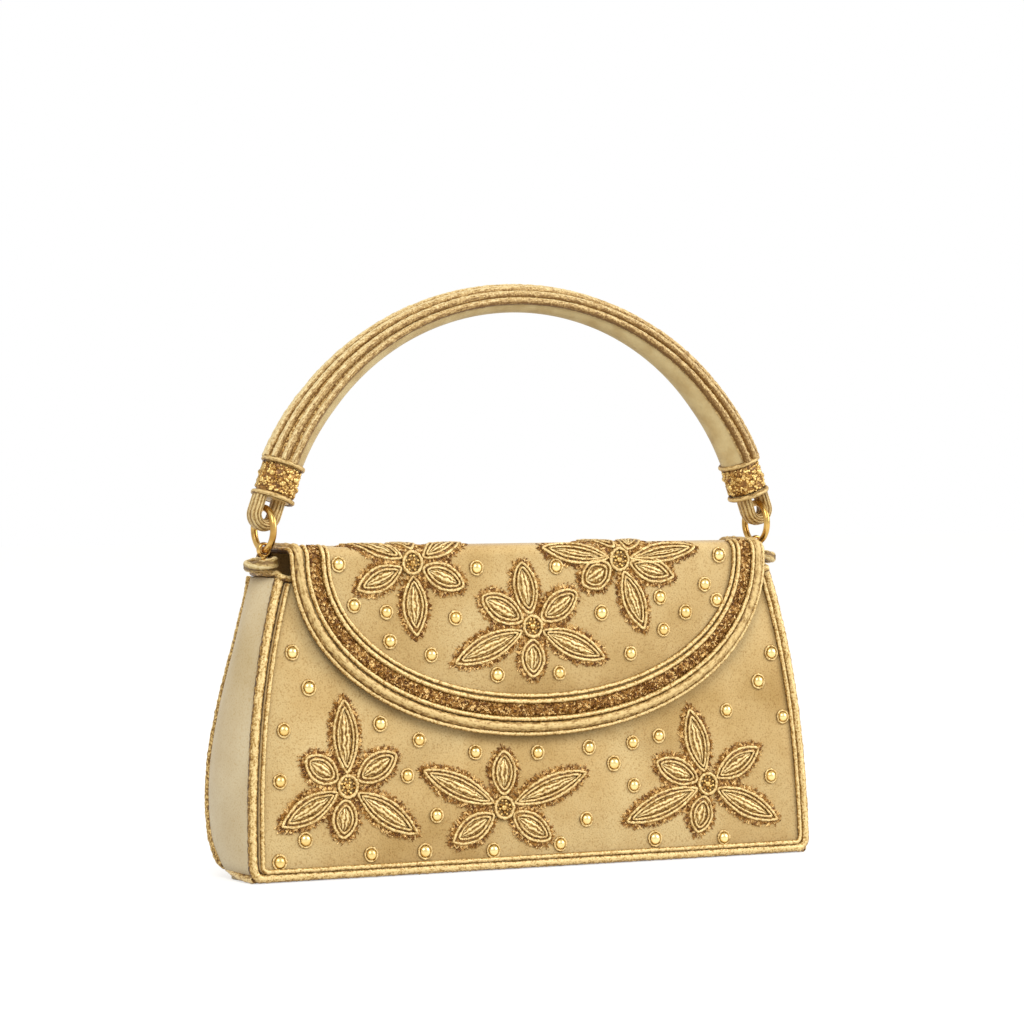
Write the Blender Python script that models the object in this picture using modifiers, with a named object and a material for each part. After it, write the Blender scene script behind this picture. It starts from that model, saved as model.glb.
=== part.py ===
# Embroidered clutch: a rigid evening bag of cloth over board, with a front flap,
# two rings and an arched top handle. Metres, +Z up. The front faces -Y, and +X is
# to the right of someone who looks at the front.
# The origin is on the underside of the base, below the handle's middle.

import bmesh
import bpy
import math
from mathutils import Matrix, Vector

mm = 0.001

# Body
bodyHeight = 101.8 * mm       # top edge of the back panel and the gussets
halfWidthBottom = 112.5 * mm  # widest, near the base
sideTaper = 13.1 * mm         # how much narrower each side is at the top
topHalfWidth = halfWidthBottom - sideTaper
taperPower = 2.5
cornerRadius = 6.0 * mm
frontFoot = -17.5 * mm        # front panel's outer face at the base
frontLean = math.radians(3.6)
baseThickness = 2.0 * mm
boardThickness = 2.0 * mm     # front and back panels, board under cloth
gussetThickness = 1.6 * mm
gussetBulge = 2.6 * mm
liningThickness = 0.7 * mm
gap = 0.3 * mm                # between pieces that touch
sideInset = 0.6 * mm          # how far the gussets stand in from the body's outline
liningClear = 1.6 * mm        # between the lining and the gussets
baseInset = 3.0 * mm          # how far the base stands in from each side
baseRounding = 2.0 * mm
backTopDepth = 12.3 * mm      # outer face of the back at its top edge
backStraight = 21.8 * mm      # how far it runs straight down from there
# Outer face of the back below that, as depth and height
backCurve = [(16.4, 58.0), (19.2, 40.0), (19.0, 26.0), (15.6, 12.5), (8.0, 3.6)]

# Mouth under the flap
mouthHalfWidth = 84.0 * mm
mouthRimDrop = 1.8 * mm       # below the top edge of the body
mouthRimHeight = bodyHeight - mouthRimDrop
mouthDepth = 32.0 * mm

# Cords on the body
pipingRadius = 1.4 * mm
pipingSink = 1.0 * mm         # its middle behind the front panel's face
trimRadius = 0.7 * mm
backPipingRadius = 1.1 * mm
topCordRadius = 1.2 * mm

# Flap and the strip behind its fold
foldRise = 6.2 * mm           # the fold's axis above the body's top edge
foldHeight = bodyHeight + foldRise
foldRadius = 4.0 * mm
foldWrap = math.radians(135.0)
flapThickness = 1.6 * mm
facingThickness = 0.8 * mm
facingMargin = 7.0 * mm
facingDrop = 4.0 * mm
flapLift = 0.4 * mm           # air between the facing and the front panel
flapSideClear = 3.5 * mm      # its outermost cord in from the body's top corners
flapHalfWidth = topHalfWidth - flapSideClear
flapDepth = 62.4 * mm
flapFullness = 2.1            # power of the flap's rounded outline
edgeCordRadius = 1.5 * mm
edgeCordRise = 0.3 * mm       # its middle in front of the flap's middle layer
topPipingRadius = 1.35 * mm
outerCordRadius = 0.65 * mm
thinCordRadius = 0.85 * mm
glitterWidth = 3.8 * mm
glitterHeight = 1.0 * mm
stripThickness = 2.0 * mm
stripFlatEnd = 6.0 * mm       # depth where the strip starts to turn down
stripTurnRadius = 6.5 * mm

# Snap under the flap
snapRadius = 7.0 * mm
snapDrop = 51.0 * mm          # below the fold's axis
snapHeight = foldHeight - snapDrop
snapNoseRadius = 2.5 * mm
snapNoseLength = 0.9 * mm
snapDimpleRadius = 3.9 * mm
snapDimpleDepth = 1.2 * mm

# Rings, links and corner loops
handleDepth = -2.0 * mm       # plane of the handle and rings
ringOut = 0.6 * mm            # the rings' planes beyond the body's top corners
ringX = topHalfWidth + ringOut
ringRise = 16.5 * mm          # the rings' middles above the body's top edge
ringHeight = bodyHeight + ringRise
ringRadius = 7.1 * mm
ringWire = 1.15 * mm
eyeRadius = 2.6 * mm
eyeHole = 1.5 * mm
eyeThickness = 2.0 * mm
loopOut = 1.0 * mm            # the corner loops' middles beyond the rings' planes
loopX = ringX + loopOut
loopHalfX = 3.8 * mm
loopHalfY = 5.9 * mm
loopCordRadius = 1.6 * mm
loopBarRadius = 0.8 * mm
sleeveRadius = 1.8 * mm
sleeveLength = 1.8 * mm
postRadius = 1.0 * mm
postLap = 0.6 * mm            # how far the post runs into the sleeve

# Handle
archInset = 1.6 * mm          # the arch's widest reach inside the rings' planes
archHalfWidth = ringX - archInset
archRise = 87.7 * mm
apexRadius = 5.0 * mm
footRadius = 7.25 * mm
ribRadius = 0.8 * mm
ribCount = 5
ribSpread = math.radians(34.0)
coreFade = math.radians(16.0)  # along the arch, before the core sits fully inside its cords
ferruleInset = 5.4 * mm       # the ferrules' middles inside the rings' planes
ferruleX = ringX - ferruleInset
ferruleRise = 16.1 * mm       # the ferrules' middles above the rings' middles
ferruleHeight = ringHeight + ferruleRise
archDrop = 24.4 * mm          # the arch's own centre below the ferrules' middles
archHeight = ferruleHeight - archDrop
ferruleTilt = math.radians(20.0)
ferruleRadius = 7.1 * mm
ferruleLength = 10.0 * mm
ferruleSwell = 0.35 * mm
neckRadius = 5.6 * mm
neckInset = 3.6 * mm
edgeRingRadius = 7.0 * mm
edgeRingWire = 0.7 * mm
strapHeight = 10.4 * mm
strapWidth = 10.4 * mm
strapDepth = 7.0 * mm
strapGap = 5.0 * mm
strapBar = 2.6 * mm
strapTop = 1.2 * mm           # cloth above the slot
strapRounding = 1.0 * mm
tongueLap = 0.8 * mm          # how far the tongue runs into the strap
strapOffset = 1.2 * mm        # outward, so that the ring hangs inside its slot

# Embroidery, raised on the cloth
petalHeight = 1.1 * mm
petalCrown = 0.55             # size of a petal's flat crown beside its outline
petalRoot = 4.4 * mm          # from the flower's centre to where a petal starts
eyeDiscRadius = 3.6 * mm
stitchDepth = 0.3 * mm        # how far a sewn foot sinks into the cloth
beadRadius = 1.9 * mm
beadHeight = 1.7 * mm

# Flowers: place on the panel, then each petal's direction in degrees, length and width
frontFlowers = {
    "left": ((-75.5, 31.3), [(91, 30, 9), (28, 22, 10), (-33, 32, 9), (-98, 18, 10), (-154, 29, 9), (148, 19, 10)]),
    "centre": ((-14.5, 21.5), [(88, 20, 10), (18, 36, 9), (-32, 22, 9), (-152, 24, 9), (156, 35, 9)]),
    "right": ((69.5, 26.3), [(104, 28, 9), (28, 26, 9), (-25, 33, 9), (-106, 18, 10), (-161, 37, 9), (158, 23, 9)]),
}
# On the flap, heights are below the fold's axis
flapFlowers = {
    "left": ((-49.8, -4.8), [(-168, 25, 8), (-92, 22, 9), (-12, 21, 8)]),
    "centre": ((-3.9, -24.6), [(100, 23, 9), (32, 22, 10), (-22, 32, 9), (-91, 18, 10), (-159, 34, 9), (152, 23, 10)]),
    "right": ((33.0, -4.8), [(-172, 18, 8), (-69, 21, 9), (-5, 24, 8)]),
}
# On the strip behind the fold, distances are along the strip from its front edge
topFlowers = {
    "left": ((-49.8, -9.0), [(152, 24, 7), (90, 21, 8), (28, 24, 7)]),
    "right": ((33.0, -9.0), [(158, 27, 7), (90, 21, 8), (24, 27, 7)]),
}
# Beads are hand sewn and follow no grid
frontBeads = [
    (-95, 77), (-89, 65), (-99, 51), (-101, 34), (-62, 52), (-47, 46), (-25, 41), (-52, 34), (-41, 20),
    (-92, 14), (-67, 8), (-102, 7), (-46, 8), (-19, 7), (0, 40), (21, 41), (39, 42), (50, 44), (31, 35),
    (39, 27), (19, 16), (47, 8), (8, 8), (99, 72), (93, 62), (79, 52), (103, 49), (97, 28), (76, 7)]
flapBeads = [
    (-78, -3), (-72, -16), (-61, -17), (-58, -28), (-34, -21), (-44, -33), (-24, -4), (-17, -41), (8, -4),
    (8, -41), (25, -21), (49, -16), (60, -21), (50, -27), (37, -35), (68, -11), (75, -3), (72, -17)]


def startScene():
    for old in list(bpy.data.objects):
        bpy.data.objects.remove(old, do_unlink=True)
    kept = bpy.data.collections.new("embroidered_clutch")
    cutters = bpy.data.collections.new("cutters")
    bpy.context.scene.collection.children.link(kept)
    bpy.context.scene.collection.children.link(cutters)
    return kept, cutters


kept, cutters = startScene()


def makeMaterial(name, colour, roughness, metallic):
    made = bpy.data.materials.new(name)
    made.use_nodes = True
    shader = made.node_tree.nodes["Principled BSDF"]
    shader.inputs["Base Color"].default_value = (*colour, 1.0)
    shader.inputs["Roughness"].default_value = roughness
    shader.inputs["Metallic"].default_value = metallic
    return made


panelCloth = makeMaterial("gold_beige_cloth", (0.58, 0.42, 0.18), 0.75, 0.1)
gussetCloth = makeMaterial("pale_beige_cloth", (0.66, 0.52, 0.28), 0.7, 0.1)
liningCloth = makeMaterial("lining_cloth", (0.45, 0.34, 0.18), 0.8, 0.0)
goldCord = makeMaterial("twisted_gold_cord", (0.72, 0.5, 0.16), 0.42, 0.5)
bronzeThread = makeMaterial("dark_bronze_thread", (0.3, 0.16, 0.04), 0.5, 0.5)
yellowMetal = makeMaterial("yellow_gilt_metal", (0.83, 0.6, 0.2), 0.25, 1.0)


# Outlines and curves

def halfWidthAt(height):
    """Half of the body's width at a height."""
    share = max(0.0, min(1.0, height / bodyHeight))
    return halfWidthBottom - sideTaper * share ** taperPower


def shiftPath(points, distance):
    """Move an open 2D path to its left by a distance."""
    moved = []
    for i, point in enumerate(points):
        before = points[max(0, i - 1)]
        after = points[min(len(points) - 1, i + 1)]
        along = Vector((after[0] - before[0], after[1] - before[1])).normalized()
        moved.append((point[0] - along.y * distance, point[1] + along.x * distance))
    return moved


def smoothThrough(points, steps):
    """A smooth curve through hand-placed points, with a few steps between each two."""
    curve = []
    last = len(points) - 1
    for i in range(last):
        a, b = points[max(0, i - 1)], points[i]
        c, d = points[i + 1], points[min(last, i + 2)]
        for k in range(steps):
            t = k / steps
            curve.append(tuple(
                0.5 * (2 * q + (r - p) * t + (2 * p - 5 * q + 4 * r - s) * t * t + (3 * q - p - 3 * r + s) * t ** 3)
                for p, q, r, s in zip(a, b, c, d)))
    curve.append(points[last])
    return curve


class SideCurve:
    """A side view of a surface. Its first point has distance zero, and its left side faces out."""

    def __init__(self, points):
        self.points = [Vector(p) for p in points]
        self.marks = [0.0]
        for a, b in zip(self.points, self.points[1:]):
            self.marks.append(self.marks[-1] + (b - a).length)
        self.length = self.marks[-1]

    def place(self, x, distance, lift=0.0):
        """The point at x, a distance along the curve, lifted off the surface."""
        i = 0
        while i < len(self.marks) - 2 and distance > self.marks[i + 1]:
            i += 1
        a, b = self.points[i], self.points[i + 1]
        along = (b - a).normalized()
        spot = a + along * (distance - self.marks[i])
        lean = self.outAt(i, distance)
        return Vector((x, spot.x + lean.x * lift, spot.y + lean.y * lift))

    def outAt(self, i, distance):
        """Outward direction, turned evenly between the corners of the curve."""
        def corner(k):
            before = self.points[max(0, k - 1)]
            after = self.points[min(len(self.points) - 1, k + 1)]
            along = (after - before).normalized()
            return Vector((-along.y, along.x))
        span = self.marks[i + 1] - self.marks[i]
        t = max(0.0, min(1.0, (distance - self.marks[i]) / span))
        return (corner(i) * (1 - t) + corner(i + 1) * t).normalized()


# Building objects

def finish(obj, material, parent=None):
    kept.objects.link(obj)
    obj.data.materials.clear()
    obj.data.materials.append(material)
    if parent:
        obj.parent = parent
    return obj


def fromBmesh(name, shape, material, parent=None, smooth=True):
    mesh = bpy.data.meshes.new(name)
    bmesh.ops.recalc_face_normals(shape, faces=shape.faces)
    shape.to_mesh(mesh)
    shape.free()
    obj = finish(bpy.data.objects.new(name, mesh), material, parent)
    if smooth:
        mesh.shade_smooth()
        mesh.set_sharp_from_angle(angle=math.radians(35))
    return obj


def cord(name, points, radius, material, parent=None, closed=False, sides=1, radii=None):
    """A cord through 3D points, with capped ends."""
    curve = bpy.data.curves.new(name, "CURVE")
    curve.dimensions = "3D"
    curve.bevel_depth = radius
    curve.bevel_resolution = sides
    curve.use_fill_caps = not closed
    spline = curve.splines.new("POLY")
    spline.points.add(len(points) - 1)
    for i, (target, spot) in enumerate(zip(spline.points, points)):
        target.co = (*spot, 1.0)
        if radii:
            target.radius = radii[i] / radius
    spline.use_cyclic_u = closed
    return finish(bpy.data.objects.new(name, curve), material, parent)


def sheet(name, outline, curve, thickness, material, parent=None, lift=0.0, folds=()):
    """A flat outline of x and distance, bent along a side curve and thickened inward."""
    shape = bmesh.new()
    face = shape.faces.new([shape.verts.new((x, d, 0)) for x, d in outline])
    if face.calc_area() and face.normal.z < 0:
        face.normal_flip()
    for fold in folds:
        bmesh.ops.bisect_plane(
            shape, geom=shape.verts[:] + shape.edges[:] + shape.faces[:],
            plane_co=(0, fold, 0), plane_no=(0, 1, 0), dist=1e-7)
    for vert in shape.verts:
        vert.co = curve.place(vert.co.x, vert.co.y, lift)
    mesh = bpy.data.meshes.new(name)
    shape.to_mesh(mesh)
    shape.free()
    obj = finish(bpy.data.objects.new(name, mesh), material, parent)
    wall = obj.modifiers.new("thickness", "SOLIDIFY")
    wall.thickness = thickness
    wall.offset = -1.0
    wall.use_even_offset = True
    return obj


def cutterFrom(name, shape, parent=None):
    mesh = bpy.data.meshes.new(name)
    bmesh.ops.recalc_face_normals(shape, faces=shape.faces)
    shape.to_mesh(mesh)
    shape.free()
    obj = bpy.data.objects.new(name, mesh)
    cutters.objects.link(obj)
    obj.hide_render = True
    obj.display_type = "WIRE"
    if parent:
        obj.parent = parent
    return obj


def combine(obj, other, operation):
    step = obj.modifiers.new(operation.lower(), "BOOLEAN")
    step.operation = operation
    step.object = other
    step.solver = "EXACT"


def roundBar(radius, length, centre, axis, segments=16):
    """A capped cylinder along X, Y or Z."""
    shape = bmesh.new()
    turn = {"X": Matrix.Rotation(math.pi / 2, 4, "Y"), "Y": Matrix.Rotation(math.pi / 2, 4, "X"), "Z": Matrix()}
    bmesh.ops.create_cone(
        shape, cap_ends=True, segments=segments, radius1=radius, radius2=radius, depth=length,
        matrix=Matrix.Translation(centre) @ turn[axis])
    return shape


def block(size, centre, round_by=0.0):
    shape = bmesh.new()
    bmesh.ops.create_cube(shape, size=1.0, matrix=Matrix.Translation(centre) @ Matrix.Diagonal((*size, 1.0)))
    if round_by:
        bmesh.ops.bevel(
            shape, geom=shape.edges[:], offset=round_by, segments=2, profile=0.5, affect="EDGES", material=-1)
    return shape


def empty(name, location, tilt=0.0):
    holder = bpy.data.objects.new(name, None)
    kept.objects.link(holder)
    holder.location = location
    holder.rotation_euler = (0.0, tilt, 0.0)
    return holder


def turned(name, profile, material, parent=None, steps=24):
    """A ring or disc turned about its own Z from a closed profile of radius and height."""
    shape = bmesh.new()
    verts = [shape.verts.new((r, 0, z)) for r, z in profile]
    for a, b in zip(verts, verts[1:] + verts[:1]):
        if a.co.x > 1e-9 or b.co.x > 1e-9:
            shape.edges.new((a, b))
    mesh = bpy.data.meshes.new(name)
    shape.to_mesh(mesh)
    shape.free()
    obj = finish(bpy.data.objects.new(name, mesh), material, parent)
    spin = obj.modifiers.new("turn", "SCREW")
    spin.steps = steps
    spin.render_steps = steps
    spin.use_merge_vertices = True
    spin.merge_threshold = 0.00001
    return obj


# Side curves of the body, the flap and the strip

frontUp = Vector((math.sin(frontLean), math.cos(frontLean)))
frontOut = Vector((-frontUp.y, frontUp.x))
frontLength = bodyHeight / frontUp.y
frontCurve = SideCurve([Vector((frontFoot, 0.0)), Vector((frontFoot, 0.0)) + frontUp * frontLength])

backTop = [(backTopDepth, bodyHeight), (backTopDepth, bodyHeight - backStraight)]
backPoints = smoothThrough(backTop + [(y * mm, z * mm) for y, z in backCurve], 3)
backPath = SideCurve(backPoints)

flapStack = flapLift + facingThickness + gap + flapThickness
foldDepth = frontFoot + math.tan(frontLean) * foldHeight + (foldRadius - flapStack) / frontUp.y
foldSteps = 7


def makeFlapCurve():
    """The flap's outer face about the fold's axis, from its lower edge up and over the fold."""
    points = [frontOut * foldRadius - frontUp * flapDepth]
    for i in range(foldSteps + 1):
        a = foldWrap * i / foldSteps
        points.append((frontOut * math.cos(a) + frontUp * math.sin(a)) * foldRadius)
    return SideCurve(points)


flapCurve = makeFlapCurve()
foldFolds = [mark for mark in flapCurve.marks[1:-1]]

stripTop = foldHeight + foldRadius
stripFront = foldDepth + math.sqrt((foldRadius + gap) ** 2 - (foldRadius - stripThickness) ** 2) + gap
stripBack = stripFlatEnd + stripTurnRadius


def makeStripCurve():
    """The strip's outer face, from the fold back and down to the back panel."""
    points = [(stripFront, stripTop)]
    for i in range(6):
        a = math.pi / 2 * i / 5
        points.append((stripFlatEnd + stripTurnRadius * math.sin(a),
                       stripTop - stripTurnRadius * (1 - math.cos(a))))
    points.append((stripBack, bodyHeight + gap))
    return SideCurve(points)


stripCurve = makeStripCurve()

# Edges of the front panel in its own plane, of x and distance up the panel


def bodyEdge(length, heightAt, inset, rows=10):
    """Left side down, the rounded bottom and the right side up, moved inward by an inset."""
    side = []
    for i in range(rows + 1):
        up = length + (cornerRadius - length) * i / rows
        side.append((halfWidthAt(heightAt(up)), up))
    corner = []
    footHalf = halfWidthAt(heightAt(0.0))
    for i in range(1, 5):
        a = math.pi / 2 * i / 4
        corner.append((footHalf - cornerRadius * (1 - math.cos(a)), cornerRadius * (1 - math.sin(a))))
    left = [(-x, d) for x, d in side + corner]
    right = [(x, d) for x, d in reversed(side + corner)]
    return shiftPath(left + right, inset)


def frontHeightAt(up):
    return up * frontUp.y


def mouthDrop(x):
    """Distance up the front panel to its top edge at x."""
    if abs(x) >= mouthHalfWidth:
        return mouthRimHeight / frontUp.y
    return (mouthRimHeight - mouthDepth * math.sqrt(1 - (x / mouthHalfWidth) ** 2)) / frontUp.y


def flapEdge(inset, steps=30):
    """The flap's rounded outline below the fold, moved inward by an inset, right to left."""
    rim = []
    for i in range(steps + 1):
        a = math.pi * i / steps
        c, s = math.cos(a), math.sin(a)
        x = math.copysign(abs(c) ** (2 / flapFullness), c) * flapHalfWidth
        rim.append((x, -(s ** (2 / flapFullness)) * flapDepth))
    rim = shiftPath(rim, -inset)
    rim[0] = (flapHalfWidth - inset, 0.0)
    rim[-1] = (inset - flapHalfWidth, 0.0)
    return rim


# Insets from the flap's outermost edge to each cord's middle
outerCordInset = outerCordRadius
edgeCordInset = outerCordInset + outerCordRadius + gap + edgeCordRadius
flapInset = edgeCordInset + edgeCordRadius + gap
lastCordInset = flapInset + thinCordRadius
glitterInset = lastCordInset + thinCordRadius + gap
innerCordInset = glitterInset + glitterWidth + gap + thinCordRadius
innermostCordInset = innerCordInset + 2 * thinCordRadius + gap


# The body's shells

def makeFrontPanel():
    lowest = 2 * (pipingRadius + gap)
    edge = [(x, max(d, lowest))
            for x, d in bodyEdge(mouthRimHeight / frontUp.y, frontHeightAt, 2 * pipingRadius + gap)]
    steps = 24
    rim = []
    for i in range(steps + 1):
        x = mouthHalfWidth * math.cos(math.pi * i / steps)
        rim.append((x, mouthDrop(x)))
    panel = sheet("front_panel", edge + rim, frontCurve, boardThickness, panelCloth)
    hole = roundBar(snapRadius + gap, 6 * boardThickness, (0, 0, 0), "Y", 24)
    cutter = cutterFrom("snap_hole", hole)
    cutter.location = frontCurve.place(0, snapHeight / frontUp.y)
    cutter.rotation_euler = (-frontLean, 0, 0)
    combine(panel, cutter, "DIFFERENCE")
    sewBeads(panel, frontCurve, frontBeads)


def backHeightAt(up):
    return backPath.place(0, backPath.length - up).z


backClear = 2 * backPipingRadius + gap


def backEdge(inset):
    """Outline on the back, of x and distance from the top edge; its piping runs on past the foot."""
    edge = [(x, d - backClear) for x, d in bodyEdge(backPath.length, backHeightAt, inset)]
    edge[0] = (edge[0][0], backPath.length)
    edge[-1] = (edge[-1][0], backPath.length)
    return [(x, backPath.length - d) for x, d in edge]


def makeBackPanel():
    sheet("back_panel", backEdge(backClear), backPath, boardThickness, panelCloth, folds=backPath.marks[1:-1])


backFoot = backPath.place(0, backPath.length + backPipingRadius + gap, -boardThickness / 2)
baseBack = backFoot.y - math.sqrt(
    max(0.0, (backPipingRadius + gap) ** 2 - max(0.0, backFoot.z - baseThickness) ** 2)) - gap / 2
baseFront = frontFoot + 2 * pipingRadius + gap


def makeBasePanel():
    depth = baseBack - baseFront
    half = halfWidthAt(0) - baseInset
    shape = block((2 * half, depth, baseThickness), (0, (baseBack + baseFront) / 2, baseThickness / 2))
    upright = [e for e in shape.edges if abs(e.verts[0].co.z - e.verts[1].co.z) > gap]
    bmesh.ops.bevel(shape, geom=upright, offset=baseRounding, segments=3, profile=0.5, affect="EDGES", material=-1)
    return fromBmesh("base_panel", shape, panelCloth)


def gussetSpan(height):
    """Front and back edges of a gusset at a height."""
    front = frontCurve.place(0, height / frontUp.y).y + 2 * pipingRadius + gap
    marks = backPath.marks + [backPath.length + cornerRadius]
    inner = [backPath.place(0, mark, -backClear) for mark in marks]
    inner.sort(key=lambda spot: spot.z)
    for low, high in zip(inner, inner[1:]):
        if low.z <= height <= high.z:
            t = (height - low.z) / (high.z - low.z)
            return front, low.y + (high.y - low.y) * t
    return front, inner[0].y if height < inner[0].z else inner[-1].y


def makeGusset(name, side):
    columns, rows = 6, 12
    shape = bmesh.new()
    bmesh.ops.create_grid(shape, x_segments=columns, y_segments=rows, size=0.5)
    low = baseThickness + gap
    for vert in shape.verts:
        u = vert.co.x + 0.5
        v = (vert.co.y + 0.5) ** 1.5
        height = low + (bodyHeight - low) * v
        front, back = gussetSpan(height)
        swell = gussetBulge * (1 - (2 * u - 1) ** 2) * min(1.0, 0.15 + 3 * v)
        out = halfWidthAt(height) - sideInset + swell
        if height < cornerRadius:
            out -= cornerRadius - math.sqrt(cornerRadius ** 2 - (cornerRadius - height) ** 2)
        vert.co = (side * out, front + (back - front) * u, height)
    obj = fromBmesh(name, shape, gussetCloth)
    for face in obj.data.polygons:
        if face.normal.x * side < 0:
            obj.data.flip_normals()
            break
    wall = obj.modifiers.new("thickness", "SOLIDIFY")
    wall.thickness = gussetThickness
    wall.offset = -1.0
    return obj


def makeLining():
    """One pouch of lining, open at the top and cut down under the flap with the mouth."""
    away = boardThickness + gap
    shape = bmesh.new()
    bmesh.ops.create_cube(shape, size=1.0)
    top = [f for f in shape.faces if f.normal.z > 0.9]
    bmesh.ops.delete(shape, geom=top, context="FACES_ONLY")
    bmesh.ops.subdivide_edges(
        shape, edges=[e for e in shape.edges if abs(e.verts[0].co.z - e.verts[1].co.z) > 0.5], cuts=9,
        use_grid_fill=True)
    bmesh.ops.subdivide_edges(
        shape, edges=[e for e in shape.edges if abs(e.verts[0].co.x - e.verts[1].co.x) > 0.5], cuts=13,
        use_grid_fill=True)
    low = baseThickness + gap + liningThickness
    for vert in shape.verts:
        u, w, v = vert.co.x * 2, vert.co.y + 0.5, (vert.co.z + 0.5) ** 1.3
        halfTop = halfWidthAt(bodyHeight) - gussetThickness - liningClear
        frontTop = frontHeightAt(mouthDrop(u * halfTop)) - gap
        backTop = bodyHeight - gap
        height = low + (frontTop + (backTop - frontTop) * w - low) * v
        half = halfWidthAt(height) - gussetThickness - liningClear
        if height < cornerRadius:
            half -= cornerRadius - math.sqrt(cornerRadius ** 2 - (cornerRadius - height) ** 2)
        front = frontCurve.place(0, height / frontUp.y).y + away + gap
        back = gussetSpan(height)[1] - gap
        vert.co = (u * half, front + (back - front) * w, height)
    obj = fromBmesh("lining", shape, liningCloth)
    wall = obj.modifiers.new("thickness", "SOLIDIFY")
    wall.thickness = liningThickness
    wall.offset = -1.0
    return obj


# Cords that edge the body

def makeBodyCords():
    frontEdge = bodyEdge(frontLength, frontHeightAt, pipingRadius)
    raised = [(x, max(d, pipingRadius + gap)) for x, d in frontEdge]
    cord("front_piping", [frontCurve.place(x, d, -pipingSink) for x, d in raised],
         pipingRadius, goldCord, sides=2)
    trimInset = 2 * (pipingRadius + gap) + trimRadius
    trim = [(x, max(d, trimInset)) for x, d in bodyEdge(mouthRimHeight / frontUp.y, frontHeightAt, trimInset)]
    cord("front_trim_cord", [frontCurve.place(x, d, gap + trimRadius) for x, d in trim], trimRadius, goldCord)
    cord("back_piping", [backPath.place(x, d, -boardThickness / 2) for x, d in backEdge(backPipingRadius)],
         backPipingRadius, goldCord)


def makeGussetTopCord(name, side):
    """Bound edge across the top of a gusset."""
    height = bodyHeight + gap + topCordRadius
    front, back = gussetSpan(bodyHeight)
    points = []
    for i in range(9):
        u = i / 8
        swell = gussetBulge * (1 - (2 * u - 1) ** 2)
        out = halfWidthAt(bodyHeight) - sideInset - gussetThickness / 2 + swell
        points.append((side * out, front + (back - front) * u, height))
    cord(name, points, topCordRadius, goldCord)
    return height + topCordRadius


# The strip behind the fold, and the flap

def makeTopPanel():
    half = flapHalfWidth - flapInset
    outline = [(half, 0.0), (half, stripCurve.length), (-half, stripCurve.length), (-half, 0.0)]
    strip = sheet("top_panel", outline[::-1], stripCurve, stripThickness, panelCloth, folds=stripCurve.marks[1:-1])
    sewTopPetals(strip)
    out = flapHalfWidth - edgeCordInset
    rows = [0.0] + stripCurve.marks[1:-1] + [stripCurve.length]
    for name, side in (("left_top_piping", -1), ("right_top_piping", 1)):
        cord(name, [stripCurve.place(side * out, d, -stripThickness / 2) for d in rows],
             topPipingRadius, goldCord)


def makeFlap(hinge):
    below = flapCurve.marks[1]
    rim = [(x, d + below) for x, d in flapEdge(flapInset)]
    half = rim[0][0]
    top = flapCurve.length
    outline = rim[::-1] + [(half, top), (-half, top)]
    panel = sheet("flap_panel", outline, flapCurve, flapThickness, panelCloth, hinge, folds=foldFolds)
    sewBeads(panel, flapCurve, flapBeads, hinge, offset=below)
    under = [(x, d + below) for x, d in flapEdge(facingMargin) if d < -facingDrop]
    side = [(under[0][0], below - facingDrop), (under[-1][0], below - facingDrop)]
    board = [side[1]] + under[::-1] + [side[0]]
    facing = sheet("flap_facing", board, flapCurve, facingThickness, liningCloth, hinge,
                   lift=-(flapThickness + gap))
    hole = roundBar(snapRadius + gap, 6 * boardThickness, (0, 0, 0), "Y", 24)
    cutter = cutterFrom("stud_hole", hole, hinge)
    cutter.location = flapCurve.place(0, snapDistance(), -flapThickness)
    cutter.rotation_euler = (-frontLean, 0, 0)
    combine(facing, cutter, "DIFFERENCE")


def snapDistance():
    """Distance along the flap's face to the snap's middle."""
    return flapCurve.marks[1] - (foldHeight - snapHeight) / frontUp.y


def makeFlapCords(hinge):
    below = flapCurve.marks[1]

    def run(name, inset, radius, lift, material=goldCord, sides=1):
        path = [flapCurve.place(x, d + below, lift) for x, d in flapEdge(inset)]
        cord(name, path, radius, material, hinge, sides=sides)

    onFace = gap + thinCordRadius
    run("flap_outer_cord", outerCordInset, outerCordRadius, -flapThickness / 2)
    run("flap_edge_piping", edgeCordInset, edgeCordRadius, edgeCordRise - flapThickness / 2, sides=2)
    run("flap_border_cord", lastCordInset, thinCordRadius, onFace)
    run("flap_inner_cord", innerCordInset, thinCordRadius, onFace)
    run("flap_innermost_cord", innermostCordInset, thinCordRadius, onFace)
    outside = [(x, d + below) for x, d in flapEdge(glitterInset)]
    inside = [(x, d + below) for x, d in flapEdge(glitterInset + glitterWidth)]
    sheet("flap_glitter_band", outside[::-1] + inside, flapCurve, glitterHeight, bronzeThread, hinge,
          lift=gap + glitterHeight)


# Snap

def makeSnap(hinge):
    face = boardThickness
    profile = [(0, -face), (snapRadius, -face), (snapRadius, 0), (snapDimpleRadius, 0),
               (snapDimpleRadius, -snapDimpleDepth), (0, -snapDimpleDepth)]
    socket = turned("snap_socket", profile[::-1], yellowMetal)
    socket.location = frontCurve.place(0, snapHeight / frontUp.y)
    socket.rotation_euler = (math.pi / 2 - frontLean, 0, 0)
    back = facingThickness
    nose = [(0, 0), (snapRadius, 0), (snapRadius, -back), (snapNoseRadius, -back),
            (snapNoseRadius, -back - snapNoseLength), (0, -back - snapNoseLength)]
    stud = turned("snap_stud", nose, yellowMetal, hinge)
    stud.location = flapCurve.place(0, snapDistance(), -(flapThickness + gap))
    stud.rotation_euler = (math.pi / 2 - frontLean, 0, 0)


# Embroidery

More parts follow.
